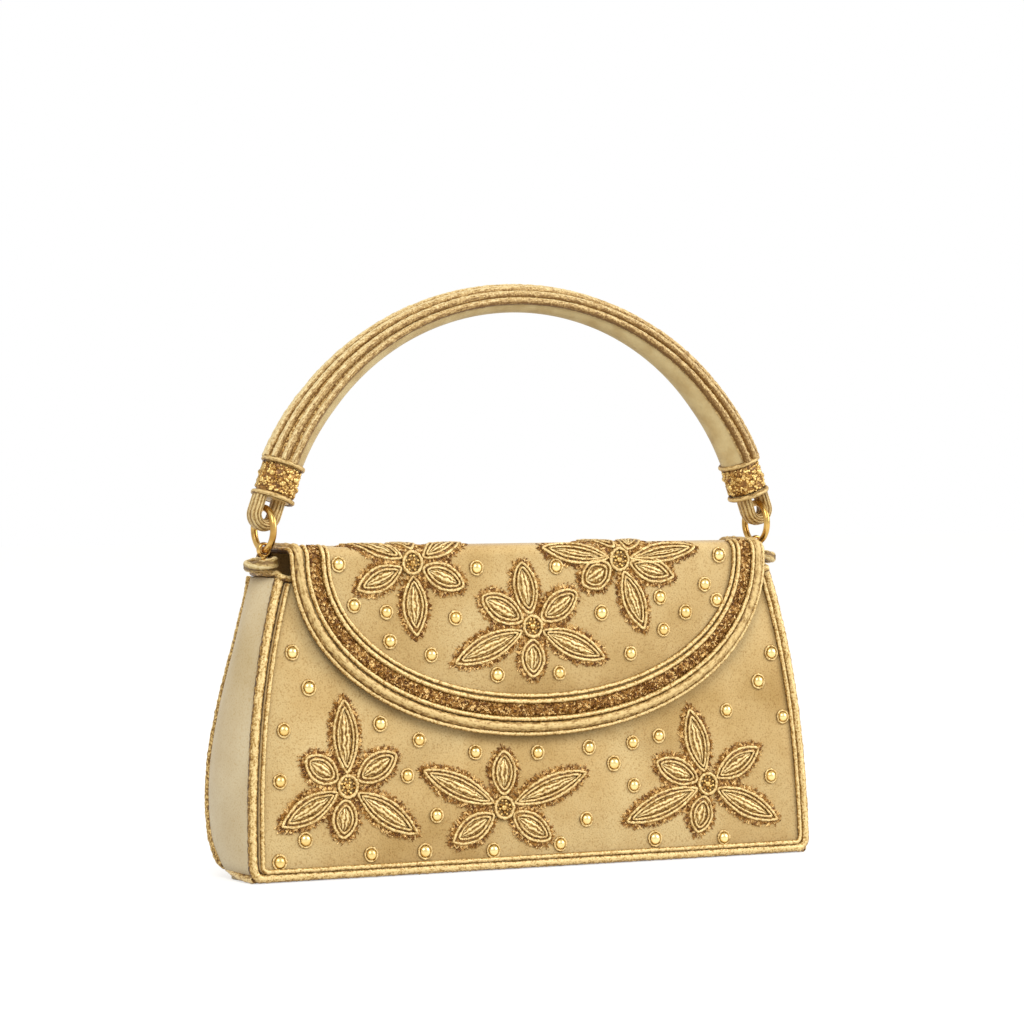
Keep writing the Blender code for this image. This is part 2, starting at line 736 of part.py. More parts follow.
def petalSides(direction, length, width, share):
    """One petal's outline about its flower's centre: from its root round its tip, counterclockwise."""
    steps = 5
    turn = Matrix.Rotation(math.radians(direction), 2)
    middle = Vector(((petalRoot + length) / 2, 0.0))
    sides = []
    for i in range(1, 2 * steps):
        t = i / steps if i <= steps else (2 * steps - i) / steps
        side = -1 if i <= steps else 1
        across = side * width / 2 * math.sin(math.pi * t) ** 0.8 if i != steps else 0.0
        spot = Vector((petalRoot + (length - petalRoot) * t, across))
        sides.append(turn @ (middle + (spot - middle) * share))
    return sides


def makeFlower(name, curve, spot, petals, parent=None, offset=0.0):
    """A raised flower in one piece: pointed petals about a round eye."""
    shape = bmesh.new()
    centre = (spot[0] * mm, spot[1] * mm + offset)
    ordered = sorted(petals, key=lambda petal: petal[0])
    rings = []
    for share, lift in ((1.0, gap), (petalCrown, gap + petalHeight)):
        ring = []
        for i, (direction, length, width) in enumerate(ordered):
            ring += petalSides(direction, length * mm, width * mm, share)
            following = ordered[(i + 1) % len(ordered)][0]
            between = direction + ((following - direction) % 360) / 2
            turn = math.radians(between)
            ring.append(Vector((math.cos(turn), math.sin(turn))) * eyeDiscRadius * (0.5 + 0.5 * share))
        rings.append([shape.verts.new(curve.place(centre[0] + f.x, centre[1] + f.y, lift)) for f in ring])
    shape.faces.new(rings[0][::-1])
    shape.faces.new(rings[1])
    count = len(rings[0])
    for i in range(count):
        j = (i + 1) % count
        shape.faces.new((rings[0][i], rings[0][j], rings[1][j], rings[1][i]))
    return fromBmesh(name, shape, bronzeThread, parent, smooth=False)


def domeInto(shape, curve, centre, radius, height):
    """A bead: a low dome whose foot is sewn into the cloth."""
    sides = 8
    rings = []
    for share, rise in ((1.0, -stitchDepth), (1.0, 0.35 * height), (0.5, height)):
        ring = []
        for i in range(sides):
            a = 2 * math.pi * i / sides
            ring.append(shape.verts.new(curve.place(
                centre[0] + radius * share * math.cos(a), centre[1] + radius * share * math.sin(a), rise)))
        rings.append(ring)
    shape.faces.new(rings[0][::-1])
    shape.faces.new(rings[-1])
    for low, high in zip(rings, rings[1:]):
        for i in range(sides):
            j = (i + 1) % sides
            shape.faces.new((low[i], low[j], high[j], high[i]))


def sewBeads(carrier, curve, places, parent=None, offset=0.0):
    shape = bmesh.new()
    for x, d in places:
        domeInto(shape, curve, (x * mm, d * mm + offset), beadRadius, beadHeight)
    combine(carrier, cutterFrom(carrier.name + "_beads", shape, parent), "UNION")


def sewTopPetals(carrier):
    """Ends of the petals that reach over the fold, sewn on the strip."""
    shape = bmesh.new()
    for spot, petals in topFlowers.values():
        centre = Vector((spot[0] * mm, spot[1] * mm))
        for direction, length, width in petals:
            a = math.radians(direction)
            axis = Vector((math.cos(a), math.sin(a)))
            tip = centre + axis * length * mm
            root = centre + axis * (petalRoot / 2 - centre.y) / math.sin(a)
            along = (tip - root) / 2
            across = Vector((-axis.y, axis.x)) * width * mm / 2
            rings = []
            for share, lift in ((1.0, -stitchDepth), (petalCrown, petalHeight)):
                ring = []
                for i in range(10):
                    b = 2 * math.pi * i / 10
                    flat = (tip + root) / 2 + (along * math.cos(b) + across * math.sin(b)) * share
                    ring.append(shape.verts.new(stripCurve.place(flat.x, flat.y, lift)))
                rings.append(ring)
            shape.faces.new(rings[0][::-1])
            shape.faces.new(rings[1])
            for i in range(10):
                j = (i + 1) % 10
                shape.faces.new((rings[0][i], rings[0][j], rings[1][j], rings[1][i]))
    combine(carrier, cutterFrom(carrier.name + "_petals", shape), "UNION")


def makeFlowers(hinge):
    for side, (spot, petals) in frontFlowers.items():
        makeFlower("front_flower_" + side, frontCurve, spot, petals)
    below = flapCurve.marks[1]
    for side, (spot, petals) in flapFlowers.items():
        makeFlower("flap_flower_" + side, flapCurve, spot, petals, hinge, offset=below)


# Rings, links and corner loops

def makeRing(name, side):
    bpy.ops.mesh.primitive_torus_add(
        major_radius=ringRadius, minor_radius=ringWire, major_segments=28, minor_segments=8,
        location=(side * ringX, handleDepth, ringHeight), rotation=(0, math.pi / 2, 0))
    obj = bpy.context.active_object
    obj.name = name
    for owner in list(obj.users_collection):
        owner.objects.unlink(obj)
    obj.data.shade_smooth()
    finish(obj, yellowMetal)


def makeLink(name, side, barHeight):
    """A cast connector: an eye on the ring's lower wire, a post, and a sleeve on the loop's bar."""
    at = empty(name + "_place", (side * ringX, handleDepth, 0))
    eyeHeight = ringHeight - ringRadius
    eye = roundBar(eyeRadius, eyeThickness, (0, 0, eyeHeight), "Y", 20)
    obj = fromBmesh(name, eye, yellowMetal, at)
    sleeve = roundBar(sleeveRadius, sleeveLength, (0, 0, barHeight), "X", 16)
    post = roundBar(postRadius, eyeHeight - barHeight - eyeHole - sleeveRadius + postLap,
                    (0, 0, (eyeHeight - eyeHole + barHeight + sleeveRadius - postLap) / 2), "Z", 12)
    eyeBore = roundBar(eyeHole, 2 * eyeThickness, (0, 0, eyeHeight), "Y", 16)
    barBore = roundBar(loopBarRadius + gap, 2 * sleeveLength, (0, 0, barHeight), "X", 12)
    combine(obj, cutterFrom(name + "_sleeve", sleeve, at), "UNION")
    combine(obj, cutterFrom(name + "_post", post, at), "UNION")
    combine(obj, cutterFrom(name + "_eye_bore", eyeBore, at), "DIFFERENCE")
    combine(obj, cutterFrom(name + "_bar_bore", barBore, at), "DIFFERENCE")


def makeCorner(word, side, cordTop):
    height = cordTop + gap + loopCordRadius
    points = []
    steps = 22
    for i in range(steps):
        a = 2 * math.pi * i / steps
        points.append((side * (loopX + loopHalfX * math.cos(a)), handleDepth + loopHalfY * math.sin(a), height))
    cord(word + "_corner_loop", points, loopCordRadius, goldCord, closed=True)
    reach = 2 * (loopHalfX - loopCordRadius - gap)
    bar = roundBar(loopBarRadius, reach, (side * loopX, handleDepth, height), "X", 10)
    fromBmesh(word + "_loop_bar", bar, yellowMetal)
    makeLink(word + "_link", side, height)


# Handle

shoulder = ferruleLength / 2 + 2 * edgeRingWire + 5 * gap  # from the ferrule's middle to the grip
archStart = math.asin((ferruleHeight + shoulder * math.cos(ferruleTilt) - archHeight) / archRise)


def archPoint(angle):
    """The grip's middle line under its cords, and its outward direction."""
    spot = Vector((archHalfWidth * math.cos(angle), 0.0, archRise * math.sin(angle)))
    out = Vector((math.cos(angle) / archHalfWidth, 0.0, math.sin(angle) / archRise)).normalized()
    fromEnd = min(angle, math.pi - angle) - archStart
    inward = ribRadius * max(0.0, min(1.0, fromEnd / coreFade))
    return spot + Vector((0, handleDepth, archHeight)) - out * inward, out


def gripRadius(angle):
    """Overall radius of the handle, cords included."""
    return apexRadius + (footRadius - apexRadius) * (math.cos(angle) / math.cos(archStart)) ** 2


def makeGrip(pivot):
    steps = 32
    points, radii = [], []
    for i in range(steps + 1):
        angle = archStart + (math.pi - 2 * archStart) * i / steps
        points.append(archPoint(angle)[0])
        radii.append(gripRadius(angle) - ribRadius)
    neckEnd = ferruleLength / 2 - neckInset
    for side in (1, -1):
        axis = Vector((-side * math.sin(ferruleTilt), 0, math.cos(ferruleTilt)))
        middle = Vector((side * ferruleX, handleDepth, ferruleHeight))
        neck = [middle + axis * (shoulder - 2 * gap), middle + axis * ferruleLength / 2, middle + axis * neckEnd]
        if side > 0:
            points = neck[::-1] + points
        else:
            points = points + neck
    radii = [neckRadius] * 3 + radii + [neckRadius] * 3
    local = [p - pivot.location for p in points]
    cord("handle_grip", local, footRadius, panelCloth, pivot, sides=4, radii=radii)


def makeRibs(pivot):
    steps = 26
    start = archStart + math.radians(2.0)
    for k in range(ribCount):
        turn = (k - (ribCount - 1) / 2) * ribSpread
        points = []
        for i in range(steps + 1):
            angle = start + (math.pi - 2 * start) * i / steps
            spot, out = archPoint(angle)
            away = gripRadius(angle) + gap
            points.append(spot + out * away * math.cos(turn) + Vector((0, 1, 0)) * away * math.sin(turn)
                          - pivot.location)
        cord("handle_rib_%d" % (k + 1), points, ribRadius, goldCord, pivot)


def makeHandleEnd(word, side, pivot):
    """Ferrule, its two edge cords and the strap that holds the ring, modelled about the ferrule's middle."""
    middle = Vector((side * ferruleX, handleDepth, ferruleHeight))
    at = empty(word + "_handle_end", middle - pivot.location, -side * ferruleTilt)
    at.parent = pivot
    half = ferruleLength / 2
    bore = neckRadius + gap
    profile = [(bore, half), (ferruleRadius - ferruleSwell, half), (ferruleRadius, half * 0.6),
               (ferruleRadius, -half * 0.6), (ferruleRadius - ferruleSwell, -half), (bore, -half)]
    turned(word + "_ferrule", profile, bronzeThread, at, 24)
    for place, lift in (("upper", half + edgeRingWire + gap), ("lower", -half - edgeRingWire - gap)):
        points = [(edgeRingRadius * math.cos(a), edgeRingRadius * math.sin(a), lift)
                  for a in [2 * math.pi * i / 20 for i in range(20)]]
        cord("%s_ferrule_%s_cord" % (word, place), points, edgeRingWire, goldCord, at, closed=True)
    makeStrap(word + "_end_strap", side, at)


def makeStrap(name, side, at):
    half = ferruleLength / 2
    top = -half - 2 * edgeRingWire - 2 * gap
    offset = side * strapOffset
    loop = block((strapWidth, strapDepth, strapHeight), (offset, 0, top - strapHeight / 2), strapRounding)
    obj = fromBmesh(name, loop, gussetCloth, at)
    slotHeight = strapHeight - strapBar - strapTop
    slot = block((strapGap, 3 * strapDepth, slotHeight), (offset, 0, top - strapHeight + strapBar + slotHeight / 2))
    combine(obj, cutterFrom(name + "_slot", slot, at), "DIFFERENCE")
    tongueTop = -half + neckInset
    tongue = roundBar(neckRadius, tongueTop - top + tongueLap, (0, 0, (tongueTop + top - tongueLap) / 2), "Z", 20)
    combine(obj, cutterFrom(name + "_tongue", tongue, at), "UNION")


def makeHandle():
    pivot = empty("handle_pivot", Vector((0, handleDepth, ringHeight)))
    makeGrip(pivot)
    makeRibs(pivot)
    makeHandleEnd("left", -1, pivot)
    makeHandleEnd("right", 1, pivot)


def main():
    makeFrontPanel()
    makeBackPanel()
    makeBasePanel()
    makeGusset("left_gusset", -1)
    makeGusset("right_gusset", 1)
    makeLining()
    makeBodyCords()
    makeTopPanel()
    hinge = empty("flap_hinge", Vector((0, foldDepth, foldHeight)))
    makeFlap(hinge)
    makeFlapCords(hinge)
    makeSnap(hinge)
    makeFlowers(hinge)
    for word, side in (("left", -1), ("right", 1)):
        cordTop = makeGussetTopCord(word + "_gusset_top_cord", side)
        makeCorner(word, side, cordTop)
        makeRing(word + "_ring", side)
    makeHandle()


main()
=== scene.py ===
import bmesh
import bpy
import math
import random
from mathutils import Matrix, Vector, noise


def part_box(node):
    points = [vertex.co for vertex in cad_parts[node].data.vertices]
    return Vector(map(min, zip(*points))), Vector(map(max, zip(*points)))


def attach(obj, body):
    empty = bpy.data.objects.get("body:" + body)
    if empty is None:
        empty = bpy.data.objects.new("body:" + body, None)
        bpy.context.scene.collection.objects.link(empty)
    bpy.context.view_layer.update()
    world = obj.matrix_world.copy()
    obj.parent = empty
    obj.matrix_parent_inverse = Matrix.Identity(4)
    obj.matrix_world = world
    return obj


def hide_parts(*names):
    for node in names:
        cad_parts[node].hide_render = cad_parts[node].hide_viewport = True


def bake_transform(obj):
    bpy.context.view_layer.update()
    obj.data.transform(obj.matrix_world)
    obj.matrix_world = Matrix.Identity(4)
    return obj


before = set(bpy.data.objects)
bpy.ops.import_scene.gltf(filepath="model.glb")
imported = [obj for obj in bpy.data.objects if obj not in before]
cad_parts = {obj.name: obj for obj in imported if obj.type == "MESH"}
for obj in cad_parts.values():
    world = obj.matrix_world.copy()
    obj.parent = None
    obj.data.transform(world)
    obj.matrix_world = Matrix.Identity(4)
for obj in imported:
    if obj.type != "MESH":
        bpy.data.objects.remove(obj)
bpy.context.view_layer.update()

mm = 0.001
dice = random.Random(7)
print("frame loaded: %d nodes" % len(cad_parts))


# Materials

def linear(hexColour):
    channels = [int(hexColour[i:i + 2], 16) / 255 for i in (1, 3, 5)]
    return [c / 12.92 if c <= 0.04045 else ((c + 0.055) / 1.055) ** 2.4 for c in channels] + [1.0]


def addNode(tree, kind, settings=None, links=None):
    node = tree.nodes.new(kind)
    for name, value in (settings or {}).items():
        if name == "stops":
            band = node.color_ramp
            while len(band.elements) < len(value):
                band.elements.new(0.5)
            for element, (spot, colour) in zip(band.elements, value):
                element.position = spot
                element.color = linear(colour)
        elif isinstance(name, int) or name in node.inputs:
            node.inputs[name].default_value = value
        else:
            setattr(node, name, value)
    for name, source in (links or {}).items():
        tree.links.new(source, node.inputs[name])
    return node


def startMaterial(name, metallic, roughness, **sockets):
    made = bpy.data.materials.new(name)
    made.use_nodes = True
    tree = made.node_tree
    shader = tree.nodes["Principled BSDF"]
    shader.inputs["Metallic"].default_value = metallic
    shader.inputs["Roughness"].default_value = roughness
    for label, value in sockets.items():
        shader.inputs[label.replace("_", " ")].default_value = value
    coords = addNode(tree, "ShaderNodeTexCoord").outputs
    return made, tree, shader, coords["Object"], coords["UV"]


def joinColour(tree, shader, colour):
    tree.links.new(colour, shader.inputs["Base Color"])


def addBump(tree, shader, height, depth, strength=1.0):
    bump = addNode(tree, "ShaderNodeBump", {"Strength": strength, "Distance": depth}, {"Height": height})
    tree.links.new(bump.outputs["Normal"], shader.inputs["Normal"])


def makeNapped(name, pale, middle, dark, patch, shade):
    # Brushed suede-like cloth: dull, soft edged sheen, cloudy where the nap lies differently
    made, tree, shader, where, _ = startMaterial(name, 0.0, 0.86, Sheen_Weight=0.25, Sheen_Roughness=0.45)
    cloud = addNode(tree, "ShaderNodeTexNoise", {"Scale": 1 / patch, "Detail": 4.0, "Roughness": 0.6},
                    {"Vector": where})
    grain = addNode(tree, "ShaderNodeTexNoise", {"Scale": 1 / (0.6 * mm), "Detail": 2.0, "Roughness": 0.6},
                    {"Vector": where})  # pile of about 0.2 mm, drawn at 0.6 mm so that it shows
    ramp = addNode(tree, "ShaderNodeValToRGB", {"stops": [(0.3, dark), (0.48, middle), (0.66, pale)]},
                   {"Fac": cloud.outputs["Fac"]})
    fleck = addNode(tree, "ShaderNodeValToRGB", {"stops": [(0.3, shade), (0.5, "#ffffff")]},
                    {"Fac": grain.outputs["Fac"]})
    mixed = addNode(tree, "ShaderNodeMix", {"data_type": "RGBA", "blend_type": "MULTIPLY", 0: 0.55},
                    {6: ramp.outputs["Color"], 7: fleck.outputs["Color"]})
    joinColour(tree, shader, mixed.outputs[2])
    addBump(tree, shader, grain.outputs["Fac"], 0.25 * mm, 0.5)
    return made


def makeCouched(name, shadeColour, flank, highlightColour, metallic, roughness, grainSize, streak, shade=1.0):
    # Smooth bundle of metal-wrapped thread sewn down: a painted highlight along its crown and painted shade where it
    # meets the cloth, broken up by grain and fibre streaks
    made, tree, shader, where, along = startMaterial(name, metallic, roughness)
    split = addNode(tree, "ShaderNodeSeparateXYZ", {}, {"Vector": along})
    away = addNode(tree, "ShaderNodeMath", {"operation": "PINGPONG", 1: 0.5}, {0: split.outputs["Y"]})
    grain = addNode(tree, "ShaderNodeTexNoise", {"Scale": 1 / grainSize, "Detail": 3.0, "Roughness": 0.65},
                    {"Vector": where})
    stretch = addNode(tree, "ShaderNodeMapping", {"Scale": (0.35, 14.0, 1.0)}, {"Vector": along})
    fibres = addNode(tree, "ShaderNodeTexNoise", {"Scale": 1.0, "Detail": 2.0}, {"Vector": stretch.outputs[0]})
    mixed = addNode(tree, "ShaderNodeMix", {"data_type": "FLOAT", 0: streak},
                    {2: grain.outputs["Fac"], 3: fibres.outputs["Fac"]})
    spread = addNode(tree, "ShaderNodeMath", {"operation": "MULTIPLY_ADD", 1: -1.1, 2: 0.55},
                     {0: mixed.outputs[0]})
    level = addNode(tree, "ShaderNodeMath", {"operation": "MULTIPLY_ADD", 1: shade},
                    {0: away.outputs[0], 2: spread.outputs[0]})
    # painted light: the first colour is a painted highlight on the side the out direction points to, the last is
    # painted shade on the opposite side, and shade sets how strongly
    ramp = addNode(tree, "ShaderNodeValToRGB", {"stops": [(0.02, highlightColour), (0.15, flank), (0.3, shadeColour)]},
                   {"Fac": level.outputs[0]})
    joinColour(tree, shader, ramp.outputs["Color"])
    addBump(tree, shader, mixed.outputs[0], 0.3 * mm, 0.7)
    return made


def makeThreads(name, dark, middle, bright, metallic, roughness):
    # Loose couched metallic thread: each short length catches the light in its own way
    made, tree, shader, where, _ = startMaterial(name, metallic, roughness)
    grain = addNode(tree, "ShaderNodeTexVoronoi", {"Scale": 1 / (0.8 * mm)}, {"Vector": where})
    tone = addNode(tree, "ShaderNodeSeparateColor", {}, {"Color": grain.outputs["Color"]})
    ramp = addNode(tree, "ShaderNodeValToRGB", {"stops": [(0.15, dark), (0.6, middle), (0.95, bright)]},
                   {"Fac": tone.outputs["Red"]})
    joinColour(tree, shader, ramp.outputs["Color"])
    return made


def makeSatin(name, gapShadeColour, side, ridgeHighlightColour, count):
    # Satin stitch laid lengthwise: rows of thread that sway a little and shine along their length, with a painted
    # highlight on each row's ridge and painted shade in the gaps between rows
    made, tree, shader, where, along = startMaterial(name, 0.35, 0.42)
    split = addNode(tree, "ShaderNodeSeparateXYZ", {}, {"Vector": along})
    sway = addNode(tree, "ShaderNodeTexNoise", {"Scale": 1 / (2.2 * mm), "Detail": 1.0}, {"Vector": where})
    rows = addNode(tree, "ShaderNodeMath", {"operation": "MULTIPLY_ADD", 1: count},
                   {0: split.outputs["Y"], 2: sway.outputs["Fac"]})
    fold = addNode(tree, "ShaderNodeMath", {"operation": "PINGPONG", 1: 0.5}, {0: rows.outputs[0]})
    grain = addNode(tree, "ShaderNodeTexNoise", {"Scale": 1 / (0.8 * mm)}, {"Vector": where})
    level = addNode(tree, "ShaderNodeMath", {"operation": "MULTIPLY_ADD", 1: 0.9},
                    {0: grain.outputs["Fac"], 2: fold.outputs[0]})
    # painted light: the first colour is painted shade between rows, the last a painted highlight on each ridge, with
    # grain breaking them up
    ramp = addNode(tree, "ShaderNodeValToRGB", {"stops": [(0.48, gapShadeColour), (0.66, side), (0.88, ridgeHighlightColour)]},
                   {"Fac": level.outputs[0]})
    joinColour(tree, shader, ramp.outputs["Color"])
    addBump(tree, shader, fold.outputs[0], 0.4 * mm, 0.8)
    return made


def makeMetal(name, colour, worn, roughness, patch):
    # Polished gilt brass: warm mirror with a slightly duller, browner cast where hands rub it
    made, tree, shader, where, _ = startMaterial(name, 1.0, roughness)
    cloud = addNode(tree, "ShaderNodeTexNoise", {"Scale": 1 / patch, "Detail": 3.0}, {"Vector": where})
    ramp = addNode(tree, "ShaderNodeValToRGB", {"stops": [(0.35, worn), (0.6, colour)]},
                   {"Fac": cloud.outputs["Fac"]})
    joinColour(tree, shader, ramp.outputs["Color"])
    rough = addNode(tree, "ShaderNodeMapRange", {"To Min": roughness + 0.12, "To Max": roughness},
                    {"Value": cloud.outputs["Fac"]})
    tree.links.new(rough.outputs["Result"], shader.inputs["Roughness"])
    return made


def makeWoven(name, warp, weft, pitch):
    # Plain woven cotton lining: threads over and under, drawn as coarse as they need to show
    made, tree, shader, where, _ = startMaterial(name, 0.0, 0.7, Sheen_Weight=0.2)
    scale = math.tau / (20 * pitch)  # the wave node has 20 radians for each unit
    across, up = [addNode(tree, "ShaderNodeTexWave", {"bands_direction": axis, "Scale": scale}, {"Vector": where})
                  for axis in "XZ"]
    weave = addNode(tree, "ShaderNodeMath", {"operation": "MULTIPLY"},
                    {0: across.outputs["Fac"], 1: up.outputs["Fac"]})
    ramp = addNode(tree, "ShaderNodeValToRGB", {"stops": [(0.0, weft), (0.7, warp)]}, {"Fac": weave.outputs[0]})
    joinColour(tree, shader, ramp.outputs["Color"])
    addBump(tree, shader, weave.outputs[0], 0.15 * mm, 0.5)
    return made


def makeGripCloth(name):
    # Handle cover: smooth napped cloth inside, dark glittery thread between the cords on the outer half
    made, tree, shader, where, along = startMaterial(name, 0.1, 0.7, Sheen_Weight=0.2)
    split = addNode(tree, "ShaderNodeSeparateXYZ", {}, {"Vector": along})
    away = addNode(tree, "ShaderNodeMath", {"operation": "PINGPONG", 1: 0.5}, {0: split.outputs["Y"]})
    edge = addNode(tree, "ShaderNodeMapRange", {"From Min": 0.29, "From Max": 0.315}, {"Value": away.outputs[0]})
    specks = addNode(tree, "ShaderNodeTexVoronoi", {"Scale": 1 / (0.7 * mm)}, {"Vector": where})
    tone = addNode(tree, "ShaderNodeSeparateColor", {}, {"Color": specks.outputs["Color"]})
    glints = addNode(tree, "ShaderNodeValToRGB", {"stops": [(0.1, "#7a5014"), (0.5, "#b3873f"), (0.9, "#eccb84")]},
                     {"Fac": tone.outputs["Red"]})
    cloud = addNode(tree, "ShaderNodeTexNoise", {"Scale": 1 / (7 * mm), "Detail": 4.0}, {"Vector": where})
    cloth = addNode(tree, "ShaderNodeValToRGB", {"stops": [(0.35, "#cbb078"), (0.6, "#dfc993")]},
                    {"Fac": cloud.outputs["Fac"]})
    mixed = addNode(tree, "ShaderNodeMix", {"data_type": "RGBA"},
                    {0: edge.outputs["Result"], 6: glints.outputs["Color"], 7: cloth.outputs["Color"]})
    joinColour(tree, shader, mixed.outputs[2])
    grain = addNode(tree, "ShaderNodeTexNoise", {"Scale": 1 / (0.9 * mm), "Detail": 3.0}, {"Vector": where})
    addBump(tree, shader, grain.outputs["Fac"], 0.25 * mm, 0.5)
    return made


panelNap = makeNapped("brushed_suede_cloth", "#dec288", "#d0af72", "#b99555", 42 * mm, "#b8975c")
sideNap = makeNapped("smooth_suede_cloth", "#e2d1ab", "#d5c096", "#c6ae7e", 50 * mm, "#e2d0aa")
linenWeave = makeWoven("woven_cotton_lining", "#b39a6c", "#8a7046", 0.9 * math.pi * mm)
# Cord colours: painted shade toward the cloth, the flank, then a painted highlight on the crown; a last number, where
# given, weights the painted shade
goldCord = makeCouched("couched_metallic_cord", "#573609", "#b98e44", "#f8da98", 0.25, 0.42, 0.75 * mm, 0.35)
softCord = makeCouched("padded_cord_piping", "#5e3c12", "#b08a4a", "#e6c684", 0.1, 0.5, 1.0 * mm, 0.55)
loopCord = makeCouched("coiled_cord", "#7c5c28", "#d0b06c", "#f4dea6", 0.1, 0.5, 0.8 * mm, 0.5, 0.8)
backCord = makeCouched("rough_couched_cord", "#523206", "#a67e3a", "#e6c680", 0.25, 0.5, 0.8 * mm, 0.05, 0.5)
ribCord = makeCouched("ribbed_handle_cord", "#7c5722", "#c5a264", "#efd8a0", 0.12, 0.5, 0.7 * mm, 0.45, 0.85)
darkThreads = makeThreads("loose_bronze_thread", "#74460b", "#b58236", "#ffdc94", 0.25, 0.42)
grooveThread = makeThreads("packed_bronze_thread", "#6c430d", "#a37130", "#d3a458", 0.2, 0.5)
# Satin colours: painted shade between the rows, the row sides, then a painted highlight on the ridges
satinThread = makeSatin("satin_stitched_thread", "#6e470f", "#be9549", "#fbe2a4", 3)
beadGold = makeMetal("polished_gilt_bead", "#ffe8a4", "#f0d084", 0.22, 4 * mm)
giltBrass = makeMetal("gilt_brass", "#dcb468", "#b58a45", 0.22, 6 * mm)
filigree = makeMetal("granulated_gilt_brass", "#efcf86", "#9c7136", 0.32, 2.2 * mm)
gripCloth = makeGripCloth("handle_cloth_and_thread")
# Strap colours: painted shade, the flank and a painted highlight, as on the cords
strapCloth = makeCouched("thread_covered_strap", "#6a4514", "#c29b57", "#ecd294", 0.15, 0.5, 0.8 * mm, 0.6, 0.5)
print("materials made")


# Shapes of the bag, repeated from its source in metres

body = {
    "height": 101.8 * mm, "halfWidth": 112.5 * mm, "taper": 13.1 * mm, "taperPower": 2.5, "corner": 6 * mm,
    "foot": -17.5 * mm, "lean": math.radians(3.6), "board": 2 * mm, "side": 1.6 * mm, "bulge": 2.6 * mm,
    "base": 2 * mm, "mouthHalf": 84 * mm, "mouthRim": 100 * mm, "mouthDepth": 32 * mm, "gap": 0.3 * mm,
    "frontSeam": 3.1 * mm, "backSeam": 2.5 * mm,  # from the outline in to the cloth, under the edge cords
    "back": [(12.3, 101.8), (12.4, 80.0), (16.4, 58.0), (19.2, 40.0), (19.0, 26.0), (15.6, 12.5), (8.0, 3.6)],
}
flap = {
    "foldHeight": 108 * mm, "foldRadius": 4 * mm, "halfWidth": 95.9 * mm, "depth": 62.4 * mm, "fullness": 2.1,
    "thickness": 1.6 * mm, "facing": 0.8 * mm, "lift": 0.4 * mm, "flatEnd": 6 * mm, "turnRadius": 6.5 * mm,
    "facingMargin": 7 * mm, "facingDrop": 4 * mm, "foldFacets": 12, "turnFacets": 10,
    "lap": 0.8 * mm,  # how far the strip's edge is sewn down over the back
}
# Distance of each cord's middle from the flap's outermost edge
insets = {"outer": 0.65 * mm, "edge": 3.1 * mm, "cloth": 4.9 * mm, "border": 5.75 * mm, "glitter": 6.9 * mm,
          "glitterEnd": 10.7 * mm, "inner": 11.85 * mm, "innermost": 13.85 * mm}

frontUp = Vector((math.sin(body["lean"]), math.cos(body["lean"])))
frontOut = Vector((-frontUp.y, frontUp.x))
flapStack = flap["lift"] + flap["facing"] + body["gap"] + flap["thickness"]
foldDepth = body["foot"] + math.tan(body["lean"]) * flap["foldHeight"] + (flap["foldRadius"] - flapStack) / frontUp.y


def halfWidthAt(height):
    share = max(0.0, min(1.0, height / body["height"]))
    return body["halfWidth"] - body["taper"] * share ** body["taperPower"]


def cornerCut(height):
    # How far the rounded bottom corner stands in at a height
    if height >= body["corner"]:
        return 0.0
    return body["corner"] - math.sqrt(body["corner"] ** 2 - (body["corner"] - height) ** 2)


def swellAt(share):
    # How far a side bulges between its front and its back
    return body["bulge"] * (1 - (2 * share - 1) ** 2)


def around(count):
    return [2 * math.pi * i / count for i in range(count)]


def shiftPath(points, distance):
    moved = []
    for i, point in enumerate(points):
        before, after = points[max(0, i - 1)], points[min(len(points) - 1, i + 1)]
        along = Vector((after[0] - before[0], after[1] - before[1])).normalized()
        moved.append((point[0] - along.y * distance, point[1] + along.x * distance))
    return moved


def smoothThrough(points, steps):
    curve = []
    last = len(points) - 1
    for i in range(last):
        a, b, c, d = points[max(0, i - 1)], points[i], points[i + 1], points[min(last, i + 2)]
        for k in range(steps):
            t = k / steps
            curve.append(tuple(
                0.5 * (2 * q + (r - p) * t + (2 * p - 5 * q + 4 * r - s) * t * t + (3 * q - p - 3 * r + s) * t ** 3)
                for p, q, r, s in zip(a, b, c, d)))
    curve.append(points[last])
    return curve


class Profile:
    # A side view of a surface, of depth and height; zero is the distance of its first point
    def __init__(self, points, zero=0.0):
        self.points = [Vector(p) for p in points]
        self.marks = [-zero]
        for a, b in zip(self.points, self.points[1:]):
            self.marks.append(self.marks[-1] + (b - a).length)
        self.leans = []
        last = len(self.points) - 1
        for k in range(last + 1):
            along = (self.points[min(last, k + 1)] - self.points[max(0, k - 1)]).normalized()
            self.leans.append(Vector((-along.y, along.x)))

    def normal(self, distance):
        i, t = self.find(distance)
        return (self.leans[i] * (1 - t) + self.leans[i + 1] * t).normalized()

    def find(self, distance):
        low, high = 0, len(self.marks) - 2
        while low < high:
            middle = (low + high + 1) // 2
            if self.marks[middle] <= distance:
                low = middle
            else:
                high = middle - 1
        span = self.marks[low + 1] - self.marks[low]
        return low, max(0.0, min(1.0, (distance - self.marks[low]) / span))

    def place(self, x, distance, lift=0.0):
        i, _ = self.find(distance)
        along = (self.points[i + 1] - self.points[i]).normalized()
        spot = self.points[i] + along * (distance - self.marks[i]) + self.normal(distance) * lift
        return Vector((x, spot.x, spot.y))


front = Profile([Vector((body["foot"], 0.0)), Vector((body["foot"], 0.0)) + frontUp * body["height"] / frontUp.y])
back = Profile([(y * mm, z * mm) for y, z in smoothThrough(body["back"], 8)])


